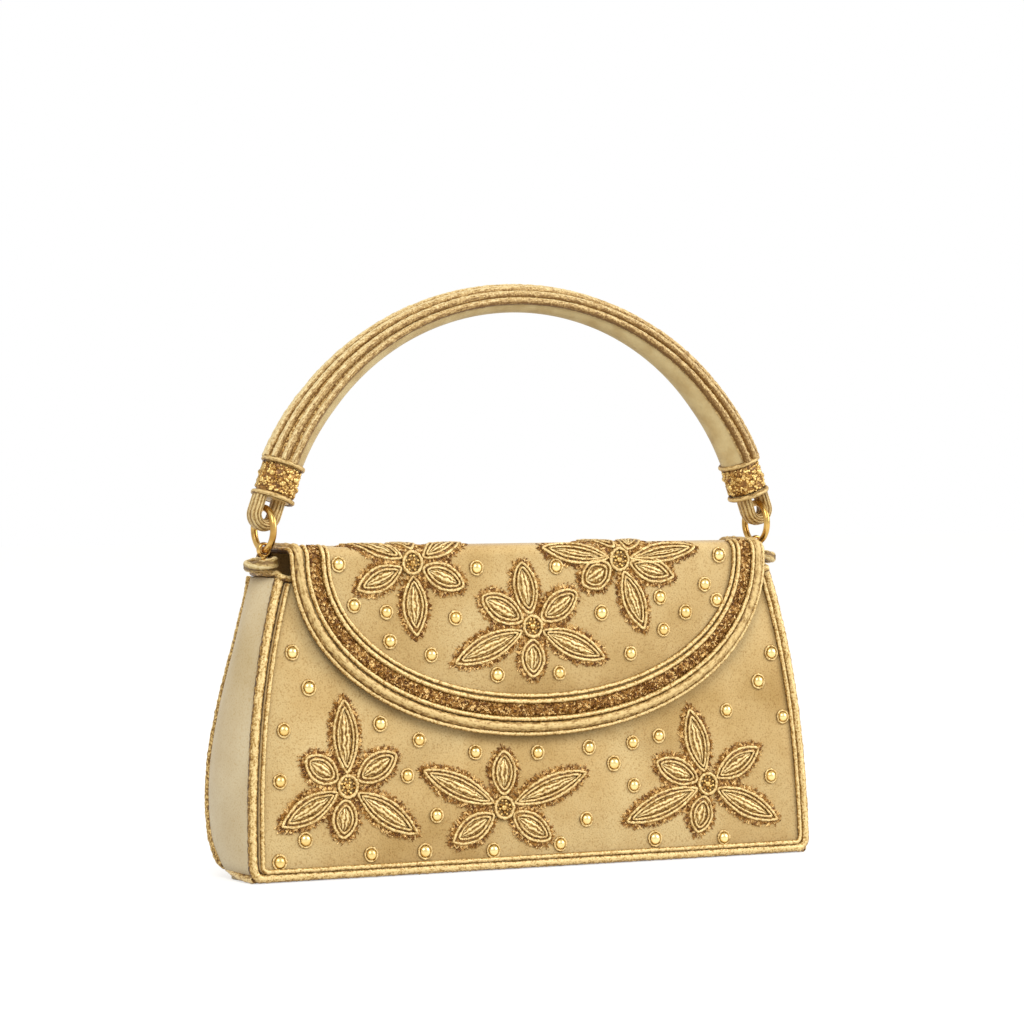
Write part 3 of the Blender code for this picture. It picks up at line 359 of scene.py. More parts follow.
def makeCoverProfile():
    # Up the flap's face, over the fold, back along the top and down over the back panel's edge
    axis = Vector((foldDepth, flap["foldHeight"]))
    points = [axis + frontOut * flap["foldRadius"] - frontUp * flap["depth"]]
    for i in range(flap["foldFacets"] + 1):
        a = (math.pi / 2 - body["lean"]) * i / flap["foldFacets"]
        points.append(axis + (frontOut * math.cos(a) + frontUp * math.sin(a)) * flap["foldRadius"])
    top = flap["foldHeight"] + flap["foldRadius"]
    for i in range(flap["turnFacets"] + 1):
        a = math.pi / 2 * i / flap["turnFacets"]
        points.append((flap["flatEnd"] + flap["turnRadius"] * math.sin(a),
                       top - flap["turnRadius"] * (1 - math.cos(a))))
    points.append((flap["flatEnd"] + flap["turnRadius"], body["height"] - flap["lap"]))
    return Profile(points, zero=flap["depth"])


cover = makeCoverProfile()
coverEnd = cover.marks[-1]


def bodyEdge(length, heightAt, inset, rows=30):
    side = []
    for i in range(rows + 1):
        up = length + (body["corner"] - length) * i / rows
        side.append((halfWidthAt(heightAt(up)), up))
    corner = []
    footHalf = halfWidthAt(heightAt(0.0))
    for i in range(1, 9):
        a = math.pi / 2 * i / 8
        corner.append((footHalf - body["corner"] * (1 - math.cos(a)), body["corner"] * (1 - math.sin(a))))
    left = [(-x, d) for x, d in side + corner]
    right = [(x, d) for x, d in reversed(side + corner)]
    return shiftPath(left + right, inset)


def frontEdge(below, inset, lowest):
    # The front's outline from a little below its top edge, moved inward and kept off the floor
    length = (body["height"] - below) / frontUp.y
    return [(x, max(d, lowest)) for x, d in bodyEdge(length, lambda up: up * frontUp.y, inset)]


def backEdge(inset):
    top = back.marks[-1]
    edge = [(x, d - body["backSeam"]) for x, d in bodyEdge(top, lambda up: back.place(0, top - up).z, inset)]
    edge[0], edge[-1] = (edge[0][0], top), (edge[-1][0], top)
    return [(x, top - d) for x, d in edge]


def mouthDrop(x):
    if abs(x) >= body["mouthHalf"]:
        return body["mouthRim"] / frontUp.y
    return (body["mouthRim"] - body["mouthDepth"] * math.sqrt(1 - (x / body["mouthHalf"]) ** 2)) / frontUp.y


def flapEdge(inset, steps=120):
    rim = []
    for i in range(steps + 1):
        a = math.pi * i / steps
        c, s = math.cos(a), math.sin(a)
        x = math.copysign(abs(c) ** (2 / flap["fullness"]), c) * flap["halfWidth"]
        rim.append((x, -(abs(s) ** (2 / flap["fullness"])) * flap["depth"]))
    rim = shiftPath(rim, -inset)
    rim[0], rim[-1] = (flap["halfWidth"] - inset, 0.0), (inset - flap["halfWidth"], 0.0)
    return rim


def coverEdge(inset, end=coverEnd):
    rim = flapEdge(inset)
    return [(rim[0][0], end)] + rim + [(rim[-1][0], end)]


def gussetSpan(height):
    near = front.place(0, height / frontUp.y).y + body["frontSeam"]
    marks = back.marks + [back.marks[-1] + body["corner"]]
    inner = sorted((back.place(0, mark, -body["backSeam"]) for mark in marks), key=lambda spot: spot.z)
    for low, high in zip(inner, inner[1:]):
        if low.z <= height <= high.z:
            t = (height - low.z) / (high.z - low.z)
            return near, low.y + (high.y - low.y) * t
    return near, inner[0].y if height < inner[0].z else inner[-1].y


# Makers

foldStart = tuple(cover.place(0, cover.marks[flap["foldFacets"] + 1]))
foldFinish = tuple(cover.place(0, -1.0 * mm))


def newShape():
    shape = bmesh.new()
    shape.loops.layers.uv.new("UVMap")
    return shape


def finish(name, shape, material, bodyName, nodes=(), angle=40, flat=False):
    mesh = bpy.data.meshes.new(name)
    if not flat:
        bmesh.ops.recalc_face_normals(shape, faces=shape.faces)
    shape.to_mesh(mesh)
    shape.free()
    return settle(name, mesh, material, bodyName, nodes, angle)


def settle(name, mesh, material, bodyName, nodes=(), angle=40):
    mesh.shade_smooth()
    mesh.set_sharp_from_angle(angle=math.radians(angle))
    mesh.materials.append(material)
    piece = bpy.data.objects.new(name, mesh)
    bpy.context.scene.collection.objects.link(piece)
    if bodyName == "fold":  # pieces laid over the fold: their placement is baked in and they are attached to no body
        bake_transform(piece)
    else:
        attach(piece, bodyName)
    if nodes:
        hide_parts(*nodes)
    return piece


def thicken(piece, thickness, bevel=0.0):
    wall = piece.modifiers.new("thickness", "SOLIDIFY")
    wall.thickness = thickness
    wall.offset = -1.0
    if bevel:
        edge = piece.modifiers.new("soft edge", "BEVEL")
        edge.width = bevel
        edge.segments = 2
        edge.limit_method = "ANGLE"
        edge.angle_limit = math.radians(50)


def resample(points, step, closed=False):
    marks = [0.0]
    ring = points + [points[0]] if closed else points
    for a, b in zip(ring, ring[1:]):
        marks.append(marks[-1] + (Vector(b) - Vector(a)).length)
    count = max(2, math.ceil(marks[-1] / step))
    placed, k = [], 0
    for i in range(count + 1):
        want = marks[-1] * i / count
        while k < len(marks) - 2 and marks[k + 1] < want:
            k += 1
        t = (want - marks[k]) / max(1e-12, marks[k + 1] - marks[k])
        placed.append(Vector(ring[k]).lerp(Vector(ring[k + 1]), t))
    return placed, marks[-1]


bumpSize = 1.1 * mm  # of the unevenness that hand sewing leaves in a cord


def addCord(shape, path, outAt, radius, closed=False, step=0.5 * mm, strands=1, lay=0.0, groove=0.0, sides=12,
            wobble=0.16, flat=1.0, radiusAt=None):
    # A cord along a path, plain or of several strands; outAt gives a direction that is never along the path
    path, length = resample(path, step, closed)
    last = len(path) - 1
    segments = strands * sides
    turn = 2 * math.pi / strands * round(length / lay) if lay else 0.0
    grid = bmesh.ops.create_grid(shape, x_segments=last, y_segments=segments, size=0.5, calc_uvs=True)
    frames = []
    for i, spot in enumerate(path):
        if closed:
            ahead = path[(i + 1) % last] - path[(i - 1) % last]
        else:
            ahead = path[min(last, i + 1)] - path[max(0, i - 1)]
        ahead.normalize()
        out = outAt(spot, i / last)
        out = (out - ahead * out.dot(ahead)).normalized()
        frames.append((out, ahead.cross(out)))
    faces = set()
    for vert in grid["verts"]:
        i = round((vert.co.x + 0.5) * last)
        j = round((vert.co.y + 0.5) * segments) % segments
        a = 2 * math.pi * j / segments
        size = radiusAt(i / last) if radiusAt else radius
        size *= 1 - groove * (1 - abs(math.cos(strands * a / 2)))
        if wobble:
            size *= 1 + wobble * noise.noise(path[i] / bumpSize + Vector((math.cos(a), math.sin(a), 0)) * 0.8)
        a += turn * i / last
        out, side = frames[i]
        vert.co = path[i] + out * (math.cos(a) * size * flat) + side * (math.sin(a) * size)
        faces.update(vert.link_faces)
    layer = shape.loops.layers.uv.active
    for face in faces:
        for loop in face.loops:
            uv = loop[layer].uv
            uv.x, uv.y = uv.x * length / mm, uv.y * strands
    bmesh.ops.remove_doubles(shape, verts=grid["verts"], dist=radius * 0.01)


def closeEnds(shape):
    rim = [e for e in shape.edges if e.is_boundary]
    if rim:
        bmesh.ops.holes_fill(shape, edges=rim, sides=0)


def makeCord(name, path, outAt, radius, material, bodyName, nodes=(), slotName="gold_cord", **form):
    shape = newShape()
    addCord(shape, path, outAt, radius, **form)
    closeEnds(shape)
    return finish(name, shape, material, bodyName, nodes)


def onProfile(profile, flatPoints, lift):
    dense, _ = resample([Vector((x, d, 0)) for x, d in flatPoints], 0.5 * mm)
    return [profile.place(p.x, p.y, lift) for p in dense]


def outOf(profile):
    # Outward direction at a point in space, found by where it lies about the fold
    if profile is front:
        return lambda spot, share: Vector((0.0, frontOut.x, frontOut.y))
    turnHeight = flap["foldHeight"] + flap["foldRadius"] - flap["turnRadius"]

    def lean(spot, share):
        if spot.z < flap["foldHeight"] and spot.y < foldDepth:
            return Vector((0.0, frontOut.x, frontOut.y))
        if spot.y < foldDepth:
            return Vector((0.0, spot.y - foldDepth, spot.z - flap["foldHeight"])).normalized()
        if spot.y < flap["flatEnd"]:
            return Vector((0.0, 0.0, 1.0))
        return Vector((0.0, spot.y - flap["flatEnd"], max(0.0, spot.z - turnHeight))).normalized()
    return lean


def makeSheet(profile, outline, lift=0.0, hole=None):
    # A flat outline of x and distance, with a round hole where one is given, bent onto a profile
    shape = newShape()
    edges = []
    for ring in [outline] + ([hole] if hole else []):
        verts = [shape.verts.new((x, d, 0)) for x, d in ring]
        edges += [shape.edges.new((a, b)) for a, b in zip(verts, verts[1:] + verts[:1])]
    bmesh.ops.triangle_fill(shape, edges=edges, use_beauty=True, use_dissolve=True, normal=(0, 0, 1))
    for face in shape.faces:
        if face.normal.z < 0:
            face.normal_flip()
    for d in profile.marks[1:-1]:
        bmesh.ops.bisect_plane(
            shape, geom=shape.verts[:] + shape.edges[:] + shape.faces[:],
            plane_co=(0, d, 0), plane_no=(0, 1, 0), dist=1e-7)
    for vert in shape.verts:
        vert.co = profile.place(vert.co.x, vert.co.y, lift)
    return shape


def ringOf(x, d, radius):
    return [(x + radius * math.cos(a), d + radius * math.sin(a)) for a in around(40)]


# Cloth panels

snap = {
    "radius": 7 * mm, "height": 57 * mm, "clear": 0.3 * mm, "rim": 0.3 * mm,
    "socketDepth": 1.9 * mm, "ledge": 0.2 * mm, "proud": 0.05 * mm,
    "dimple": (4.4 * mm, 4.0 * mm, 3.9 * mm), "dimpleDepth": 1.2 * mm,
    "studDepth": 1.9 * mm, "plate": (0.6 * mm, 0.85 * mm), "nose": (2.6 * mm, 2.5 * mm, 2.2 * mm),
    "noseReach": (1.5 * mm, 1.7 * mm),
}
cloth = {"below": 0.5 * mm, "lowest": 3.4 * mm, "softEdge": 0.35 * mm, "facingEdge": 0.2 * mm}
snapDrop = (flap["foldHeight"] - snap["height"]) / frontUp.y  # below the fold, along the flap


def makePanels():
    edge = frontEdge(cloth["below"], body["frontSeam"], cloth["lowest"])
    for i in range(61):
        x = body["mouthHalf"] * math.cos(math.pi * i / 60)
        edge.append((x, mouthDrop(x)))
    hole = snap["radius"] + snap["clear"]
    shape = makeSheet(front, edge, hole=ringOf(0, snap["height"] / frontUp.y, hole))
    piece = finish("front_cloth", shape, panelNap, "bag", ["front_panel"], flat=True)
    thicken(piece, body["board"], cloth["softEdge"])
    shape = makeSheet(back, backEdge(body["backSeam"]))
    piece = finish("back_cloth", shape, panelNap, "bag", ["back_panel"], flat=True)
    thicken(piece, body["board"], cloth["softEdge"])
    shape = makeSheet(cover, coverEdge(insets["cloth"]))
    piece = finish("cover_cloth", shape, panelNap, "fold", ["flap_panel", "top_panel"], flat=True)
    thicken(piece, flap["thickness"], cloth["softEdge"])
    under = [p for p in flapEdge(flap["facingMargin"]) if p[1] < -flap["facingDrop"]]
    top = [(under[-1][0], -flap["facingDrop"]), (under[0][0], -flap["facingDrop"])]
    shape = makeSheet(cover, under + top, -(flap["thickness"] + body["gap"]), ringOf(0, -snapDrop, hole))
    piece = finish("facing_cloth", shape, linenWeave, "flap", ["flap_facing"], flat=True)
    thicken(piece, flap["facing"], cloth["facingEdge"])


sideShape = {"inset": 0.6 * mm, "columns": 24, "rows": 60, "crowding": 1.3, "footSwell": 0.15, "swellRise": 3}


def makeSide(word, side):
    shape = newShape()
    bmesh.ops.create_grid(shape, x_segments=sideShape["columns"], y_segments=sideShape["rows"], size=0.5)
    low = body["base"] + body["gap"]
    for vert in shape.verts:
        u, v = vert.co.x + 0.5, (vert.co.y + 0.5) ** sideShape["crowding"]
        height = low + (body["height"] - low) * v
        near, far = gussetSpan(height)
        swell = swellAt(u) * min(1.0, sideShape["footSwell"] + sideShape["swellRise"] * v)
        out = halfWidthAt(height) - sideShape["inset"] + swell - cornerCut(height)
        vert.co = (side * out, near + (far - near) * u, height)
    if side < 0:
        bmesh.ops.reverse_faces(shape, faces=shape.faces)
    piece = finish(word + "_side_cloth", shape, sideNap, "bag", [word + "_gusset"], flat=True)
    thicken(piece, body["side"])


lining = {"thickness": 0.7 * mm, "above": 1.0 * mm, "clear": 1.6 * mm, "rows": 15, "columns": 31, "crowding": 1.3}


def makeLining():
    # One pouch, open at the top and cut down under the flap with the mouth
    shape = newShape()
    bmesh.ops.create_cube(shape, size=1.0)
    top = [f for f in shape.faces if f.normal.z > 0.9]
    bmesh.ops.delete(shape, geom=top, context="FACES_ONLY")
    for axis, cuts in ((2, lining["rows"]), (0, lining["columns"])):
        along = [e for e in shape.edges if abs(e.verts[0].co[axis] - e.verts[1].co[axis]) > 0.5]
        bmesh.ops.subdivide_edges(shape, edges=along, cuts=cuts, use_grid_fill=True)
    low = body["base"] + lining["above"]
    inside = body["side"] + lining["clear"]
    halfTop = halfWidthAt(body["height"]) - inside
    for vert in shape.verts:
        u, w, v = vert.co.x * 2, vert.co.y + 0.5, (vert.co.z + 0.5) ** lining["crowding"]
        frontTop = mouthDrop(u * halfTop) * frontUp.y - body["gap"]
        height = low + (frontTop + (body["height"] - body["gap"] - frontTop) * w - low) * v
        half = halfWidthAt(height) - inside - cornerCut(height)
        near = front.place(0, height / frontUp.y).y + body["board"] + 2 * body["gap"]
        far = gussetSpan(height)[1] - body["gap"]
        vert.co = (u * half, near + (far - near) * w, height)
    bmesh.ops.recalc_face_normals(shape, faces=shape.faces)
    if sum(f.normal.y * f.calc_center_median().y for f in shape.faces) < 0:
        bmesh.ops.reverse_faces(shape, faces=shape.faces)
    piece = finish("lining_cloth", shape, linenWeave, "bag", ["lining"], flat=True)
    thicken(piece, lining["thickness"])


makePanels()
makeSide("left", -1)
makeSide("right", 1)
makeLining()
print("cloth panels made")


# Cords that edge the body: where each runs from the outline, how high off the cloth and how thick

frontCords = {
    "front_edge_cord": {"radius": 1.65 * mm, "below": 0.0, "inset": 1.0 * mm, "lowest": 2.0 * mm, "lift": -1.0 * mm,
                        "step": 0.55 * mm, "node": "front_piping"},
    "front_trim": {"radius": 0.8 * mm, "below": 0.8 * mm, "inset": 4.0 * mm, "lowest": 4.0 * mm, "lift": 0.5 * mm,
                   "step": 0.5 * mm, "node": "front_trim_cord"},
}
backCordSize = {"radius": 1.5 * mm, "inset": 1.4 * mm, "wobble": 0.2}
sideTop = {
    "radius": 1.2 * mm, "inset": 1.4 * mm, "height": 1.4 * mm, "step": 0.45 * mm,
    # over the front's shoulder from the mouth out: x, then depth and height from the side's upper front corner
    "shoulder": [(84.0, -2.9, -1.1), (93.0, -3.2, -0.8), (98.4, -3.4, 0.3)],
}
sideFoot = {"radius": 1.35 * mm, "out": 110.8, "narrowing": 1.6, "front": -16.2, "depth": 23.4, "low": 1.5,
            "rise": 2.6, "swell": 0.15}  # all but the radius in millimetres along the base
shoulderCloth = {"start": 84 * mm, "inset": 1.6 * mm, "front": -11.4 * mm, "depth": 22.6 * mm, "below": 0.3 * mm,
                 "sag": 1.2 * mm, "thickness": 0.8 * mm}


def makeBodyCords():
    for name, size in frontCords.items():
        path = onProfile(front, frontEdge(size["below"], size["inset"], size["lowest"]), size["lift"])
        makeCord(name, path, outOf(front), size["radius"], goldCord, "bag", [size["node"]], step=size["step"])
    makeCord("back_edge_cord", onProfile(back, backEdge(backCordSize["inset"]), -body["board"] / 2),
             lambda spot, share: Vector((spot.x * 4, 1.0, 0.1)).normalized(), backCordSize["radius"], backCord,
             "bag", ["back_piping"], wobble=backCordSize["wobble"])
    for word, side in (("left", -1), ("right", 1)):
        makeSideTopCord(word, side)
        makeSideFootCord(word, side)
        makeShoulderCloth(word, side)


def makeSideTopCord(word, side):
    near, far = gussetSpan(body["height"])
    path = [Vector((side * x * mm, near + y * mm, body["height"] + z * mm)) for x, y, z in sideTop["shoulder"]]
    for i in range(17):
        out = halfWidthAt(body["height"]) - sideTop["inset"] + swellAt(i / 16)
        path.append(Vector((side * out, near + (far - near) * i / 16, body["height"] + sideTop["height"])))
    makeCord(word + "_side_top_cord", path, lambda spot, share: Vector((side * 0.7, -0.6, 1)), sideTop["radius"],
             goldCord, "bag", [word + "_gusset_top_cord"], step=sideTop["step"])


def makeSideFootCord(word, side):
    path = []
    for i in range(21):
        u = i / 20
        out = sideFoot["out"] * mm + swellAt(u) * sideFoot["swell"] - sideFoot["narrowing"] * mm * u ** 2
        path.append(Vector((side * out, (sideFoot["front"] + sideFoot["depth"] * u) * mm,
                            (sideFoot["low"] + sideFoot["rise"] * u ** 2) * mm)))
    makeCord(word + "_side_foot_cord", path, lambda spot, share: Vector((side, 0, -0.3)), sideFoot["radius"],
             goldCord, "bag", step=0.45 * mm)


def makeShoulderCloth(word, side):
    # Cloth turned in over the top of the side, closing the corner
    shape = newShape()
    bmesh.ops.create_grid(shape, x_segments=10, y_segments=10, size=0.5)
    start = shoulderCloth["start"]
    end = halfWidthAt(body["height"]) - shoulderCloth["inset"]
    for vert in shape.verts:
        u, v = vert.co.x + 0.5, vert.co.y + 0.5
        sag = shoulderCloth["sag"] * math.sin(math.pi * v) * math.sin(math.pi * u)
        vert.co = (side * (start + (end - start) * u + swellAt(v) * u),
                   shoulderCloth["front"] + shoulderCloth["depth"] * v,
                   body["height"] - shoulderCloth["below"] - sag)
    if side < 0:
        bmesh.ops.reverse_faces(shape, faces=shape.faces)
    piece = finish(word + "_shoulder_cloth", shape, sideNap, "bag", flat=True)
    thicken(piece, shoulderCloth["thickness"])


# The flap's border: each cord's lift off the cloth, and whether it sinks into the cloth behind the fold

flapCords = {
    "outer_cord": {"inset": "outer", "radius": 0.75 * mm, "lift": -0.5 * mm, "material": goldCord, "dive": False,
                   "nodes": ["flap_outer_cord"]},
    "edge_roll": {"inset": "edge", "radius": 1.8 * mm, "lift": -0.4 * mm, "material": softCord, "dive": False,
                  "nodes": ["flap_edge_piping", "left_top_piping", "right_top_piping"]},
    "border_cord": {"inset": "border", "radius": 0.8 * mm, "lift": 0.75 * mm, "material": goldCord, "dive": True,
                    "nodes": ["flap_border_cord"]},
    "inner_cord": {"inset": "inner", "radius": 0.85 * mm, "lift": 0.7 * mm, "material": goldCord, "dive": True,
                   "nodes": ["flap_inner_cord"]},
    "innermost_cord": {"inset": "innermost", "radius": 0.75 * mm, "lift": 0.55 * mm, "material": goldCord,
                       "dive": True, "nodes": ["flap_innermost_cord"]},
}
divePast = {"start": 3 * mm, "end": 8.5 * mm, "sink": 2.4 * mm}


def overFold(inset, lift, dive):
    edge = coverEdge(inset, divePast["end"] if dive else coverEnd)
    dense, _ = resample([Vector((x, d, 0)) for x, d in edge], 0.5 * mm)
    path = []
    for p in dense:
        share = max(0.0, min(1.0, (p.y - divePast["start"]) / (divePast["end"] - divePast["start"])))
        path.append(cover.place(p.x, p.y, lift - (divePast["sink"] * share ** 2 if dive else 0.0)))
    return path


def makeFlapCords():
    for name, size in flapCords.items():
        path = overFold(insets[size["inset"]], size["lift"], size["dive"])
        makeCord("flap_" + name, path, outOf(cover), size["radius"], size["material"], "fold", size["nodes"])


def makeThreadsPiece(name, strokes, radius, material, bodyName):
    # Many short threads in one piece, from a curve that is made a mesh
    line = bpy.data.curves.new(name + "_line", "CURVE")
    line.dimensions = "3D"
    line.bevel_depth = radius
    line.bevel_resolution = 0
    line.use_fill_caps = True
    for stroke in strokes:
        spline = line.splines.new("POLY")
        spline.points.add(len(stroke) - 1)
        for point, spot in zip(spline.points, stroke):
            point.co = (*spot, 1.0)
    holder = bpy.data.objects.new(name + "_line", line)
    bpy.context.scene.collection.objects.link(holder)
    graph = bpy.context.evaluated_depsgraph_get()
    mesh = bpy.data.meshes.new_from_object(holder.evaluated_get(graph))
    mesh.name = name
    mesh.materials.clear()
    bpy.data.objects.remove(holder, do_unlink=True)
    bpy.data.curves.remove(line)
    return settle(name, mesh, material, bodyName)


glitter = {
    "spacing": 0.36 * mm, "perStep": 4, "length": 0.9 * mm, "radius": 0.2 * mm, "spread": 1.85, "bend": 0.5,
    "lift": 0.5 * mm, "scatter": 0.45, "end": 6 * mm, "tuck": 0.5 * mm, "bond": 0.1 * mm,
}


def makeGlitterBand():
    outside = coverEdge(insets["glitter"] - glitter["tuck"], glitter["end"])
    inside = coverEdge(insets["glitterEnd"] + glitter["tuck"], glitter["end"])
    shape = makeSheet(cover, outside + inside[::-1], glitter["lift"])
    piece = finish("glitter_ground", shape, grooveThread, "fold", ["flap_glitter_band"], flat=True)
    thicken(piece, glitter["lift"] - glitter["bond"])
    strokes = []
    middle = coverEdge((insets["glitter"] + insets["glitterEnd"]) / 2, glitter["end"])
    line, _ = resample([Vector((x, d, 0)) for x, d in middle], glitter["spacing"])
    for i in range(1, len(line) - 1):
        along = (line[i + 1] - line[i - 1]).normalized()
        across = Vector((-along.y, along.x, 0))
        for _ in range(glitter["perStep"]):
            spot = line[i] + across * dice.uniform(-glitter["spread"], glitter["spread"]) * mm
            a = dice.uniform(0, 2 * math.pi)
            heading = Vector((math.cos(a), math.sin(a), 0))
            bend = Vector((-heading.y, heading.x, 0)) * dice.uniform(-glitter["bend"], glitter["bend"])
            stroke = []
            for k in range(3):
                flat = spot + (heading * (k - 1) * 0.5 + bend * (0.25 if k == 1 else 0)) * glitter["length"]
                flat.y = min(flat.y, glitter["end"])
                lift = glitter["lift"] + dice.uniform(0.0, glitter["scatter"]) * mm
                stroke.append(cover.place(flat.x, flat.y, lift))
            strokes.append(stroke)
    makeThreadsPiece("glitter_threads", strokes, glitter["radius"], darkThreads, "fold")


seam = {
    "pitch": 2.6 * mm, "length": 1.8 * mm, "radius": 0.28 * mm, "fromEnd": 2.2 * mm, "reach": 92 * mm,
    "stitch": ((-0.5, -0.1 * mm), (-0.25, 0.15 * mm), (0.25, 0.15 * mm), (0.5, -0.1 * mm)),  # share and lift
}


def makeSeam():
    # Stitches that hold the strip's turned edge to the back
    half = int(seam["reach"] / seam["pitch"])
    strokes = [[cover.place(i * seam["pitch"] + share * seam["length"], coverEnd - seam["fromEnd"], lift)
                for share, lift in seam["stitch"]] for i in range(-half, half + 1)]
    makeThreadsPiece("back_seam_stitches", strokes, seam["radius"], grooveThread, "bag")


makeBodyCords()
makeFlapCords()
makeGlitterBand()
makeSeam()
print("cords made")


# Embroidery: place on the panel, then each petal's direction, length and width in millimetres

flowers = {
    "front": [
        ((-75.5, 31.3), [(91, 30, 10), (28, 22, 10), (-33, 32, 9.5), (-98, 18, 10), (-154, 29, 9.5), (148, 19, 10)]),
        ((-14.5, 21.5), [(88, 20, 10), (18, 36, 9), (-32, 22, 9.5), (-152, 24, 9.5), (156, 35, 9)]),
        ((69.5, 26.3), [(104, 28, 10), (28, 26, 9.5), (-25, 33, 9.5), (-106, 18, 10), (-161, 37, 9.5),
                        (158, 23, 9.5)])],
    "cover": [
        ((-49.6, -2.0), [(-158, 24, 9), (-88, 25.5, 10), (-22, 22, 9.5), (155, 27, 8), (90, 20, 9), (26, 27, 8)]),
        ((-2.6, -24.6), [(100, 23, 10), (32, 22, 10), (-22, 32, 9.5), (-91, 18, 10), (-159, 34, 9.5),
                         (152, 23, 10)]),
        ((33.8, -2.0), [(-152, 18, 11), (-69, 27, 9.5), (-16, 24, 9), (172, 32, 7.5), (115, 20, 9), (52, 20, 9),
                        (7, 33, 7)])],
}
petals = {
    "root": 4.0 * mm, "long": 24, "fullness": (0.62, 0.78), "tipInset": (1.1, 1.6),  # of short and of long ones
    "outline": 0.58 * mm, "outlineInset": 0.55 * mm, "outlineLift": 0.55 * mm,
    "inner": 0.45 * mm, "innerInset": 2.05 * mm, "innerLift": 0.85 * mm,
    "ground": (-1.0 * mm, 0.06 * mm, 0.6 * mm), "fill": (2.5 * mm, 0.5 * mm, 1.3 * mm),  # inset, edge and crown
    "skin": 0.1 * mm,
}
halo = {"reach": 2.5 * mm, "shortest": 0.35, "spacing": 0.16 * mm, "radius": 0.16 * mm, "lean": 1.1,
        "start": 0.5, "bend": 0.35, "low": 0.15, "arch": 0.35, "scatter": 0.15}
flowerEye = {"ring": 3.6 * mm, "cord": 0.66 * mm, "lift": 0.8 * mm, "knob": 1.2 * mm, "knobLift": 0.5 * mm,
             "grain": 0.55 * mm, "grainLift": 0.6 * mm, "rows": [1.6 * mm] * 5 + [2.5 * mm] * 8, "turn": 2.4}
thread = {"sides": 8, "wobble": 0.35, "closed": True}
beads = {
    "radius": 1.95 * mm, "height": 1.53 * mm, "sink": 0.25 * mm, "ringRadius": 2.45 * mm, "ringCord": 0.42 * mm,
    "ringLift": 0.22 * mm, "sizes": (0.92, 1.06),
    "front": [
        (-95, 77), (-89, 65), (-99, 51), (-101, 34), (-62, 52), (-47, 46), (-25, 41), (-52, 34), (-41, 20),
        (-92, 14), (-67, 8), (-102, 7), (-46, 8), (-19, 7), (0, 40), (21, 41), (39, 42), (50, 44), (31, 35),
        (39, 27), (19, 16), (47, 8), (8, 8), (99, 72), (93, 62), (79, 52), (103, 49), (97, 28), (76, 7)],
    "cover": [
        (-78, -2), (-72.5, -16), (-60, -18.5), (-59, -28.5), (-33, -21), (-43, -33.5), (-24, -4), (-17, -41),
        (8, -4), (8, -41), (26, -20.5), (50.5, -15.5), (61, -21), (51.5, -27), (37.5, -35), (69.5, -11.3),
        (76, -1), (74.3, -17)],
}


def petalPoint(petal, centre, share, across, inset=0.0):
    # share runs from the root to the tip, across from -1 to 1
    direction, length, width = petal
    isLong = length >= petals["long"]
    start = petals["root"] + inset * 1.2
    end = length * mm - inset * petals["tipInset"][isLong]
    half = width / 2 * mm - inset
    a = math.radians(direction)
    x = start + (end - start) * share
    y = across * half * math.sin(math.pi * share) ** petals["fullness"][isLong]
    return Vector((centre[0] * mm + x * math.cos(a) - y * math.sin(a),
                   centre[1] * mm + x * math.sin(a) + y * math.cos(a), 0))


def petalLoop(petal, centre, inset, steps=26):
    shares = [(1 - math.cos(math.pi * i / steps)) / 2 for i in range(steps + 1)]
    loop = [petalPoint(petal, centre, share, -1, inset) for share in shares]
    return loop + [petalPoint(petal, centre, share, 1, inset) for share in shares[-2:0:-1]]


def addPad(shape, profile, petal, centre, inset, low, high):
    # A low padded dome with its rows of thread running from root to tip
    grid = bmesh.ops.create_grid(shape, x_segments=16, y_segments=8, size=0.5, calc_uvs=True)
    for vert in grid["verts"]:
        share, across = vert.co.x + 0.5, vert.co.y * 2
        flat = petalPoint(petal, centre, share, across, inset)
        rise = low + (high - low) * math.sqrt(max(0.0, 1 - across ** 2)) * min(1.0, 4 * share, 4 * (1 - share))
        vert.co = profile.place(flat.x, flat.y, rise)


def addHalo(strokes, profile, loop):
    # Loose threads that stray outward all round a petal
    dense, _ = resample(loop, halo["spacing"], True)
    count = len(dense) - 1
    for i in range(count):
        along = (dense[(i + 1) % count] - dense[i - 1]).normalized()
        out = Vector((along.y, -along.x, 0))
        lean = dice.uniform(-halo["lean"], halo["lean"])
        reach = halo["reach"] * dice.uniform(halo["shortest"], 1.0)
        begin = dense[i] + out * dice.uniform(-halo["start"], halo["start"]) * mm
        bend = dice.uniform(-halo["bend"], halo["bend"])
        stroke = []
        for t in (0, 0.5, 1):
            flat = begin + (out * t + along * (lean * t + bend * math.sin(math.pi * t))) * reach
            arch = halo["arch"] * math.sin(math.pi * min(1, t + 0.2)) * dice.random()
            lift = (halo["low"] + arch + halo["scatter"] * dice.random()) * mm
            stroke.append(profile.place(flat.x, flat.y, lift))
        strokes.append(stroke)


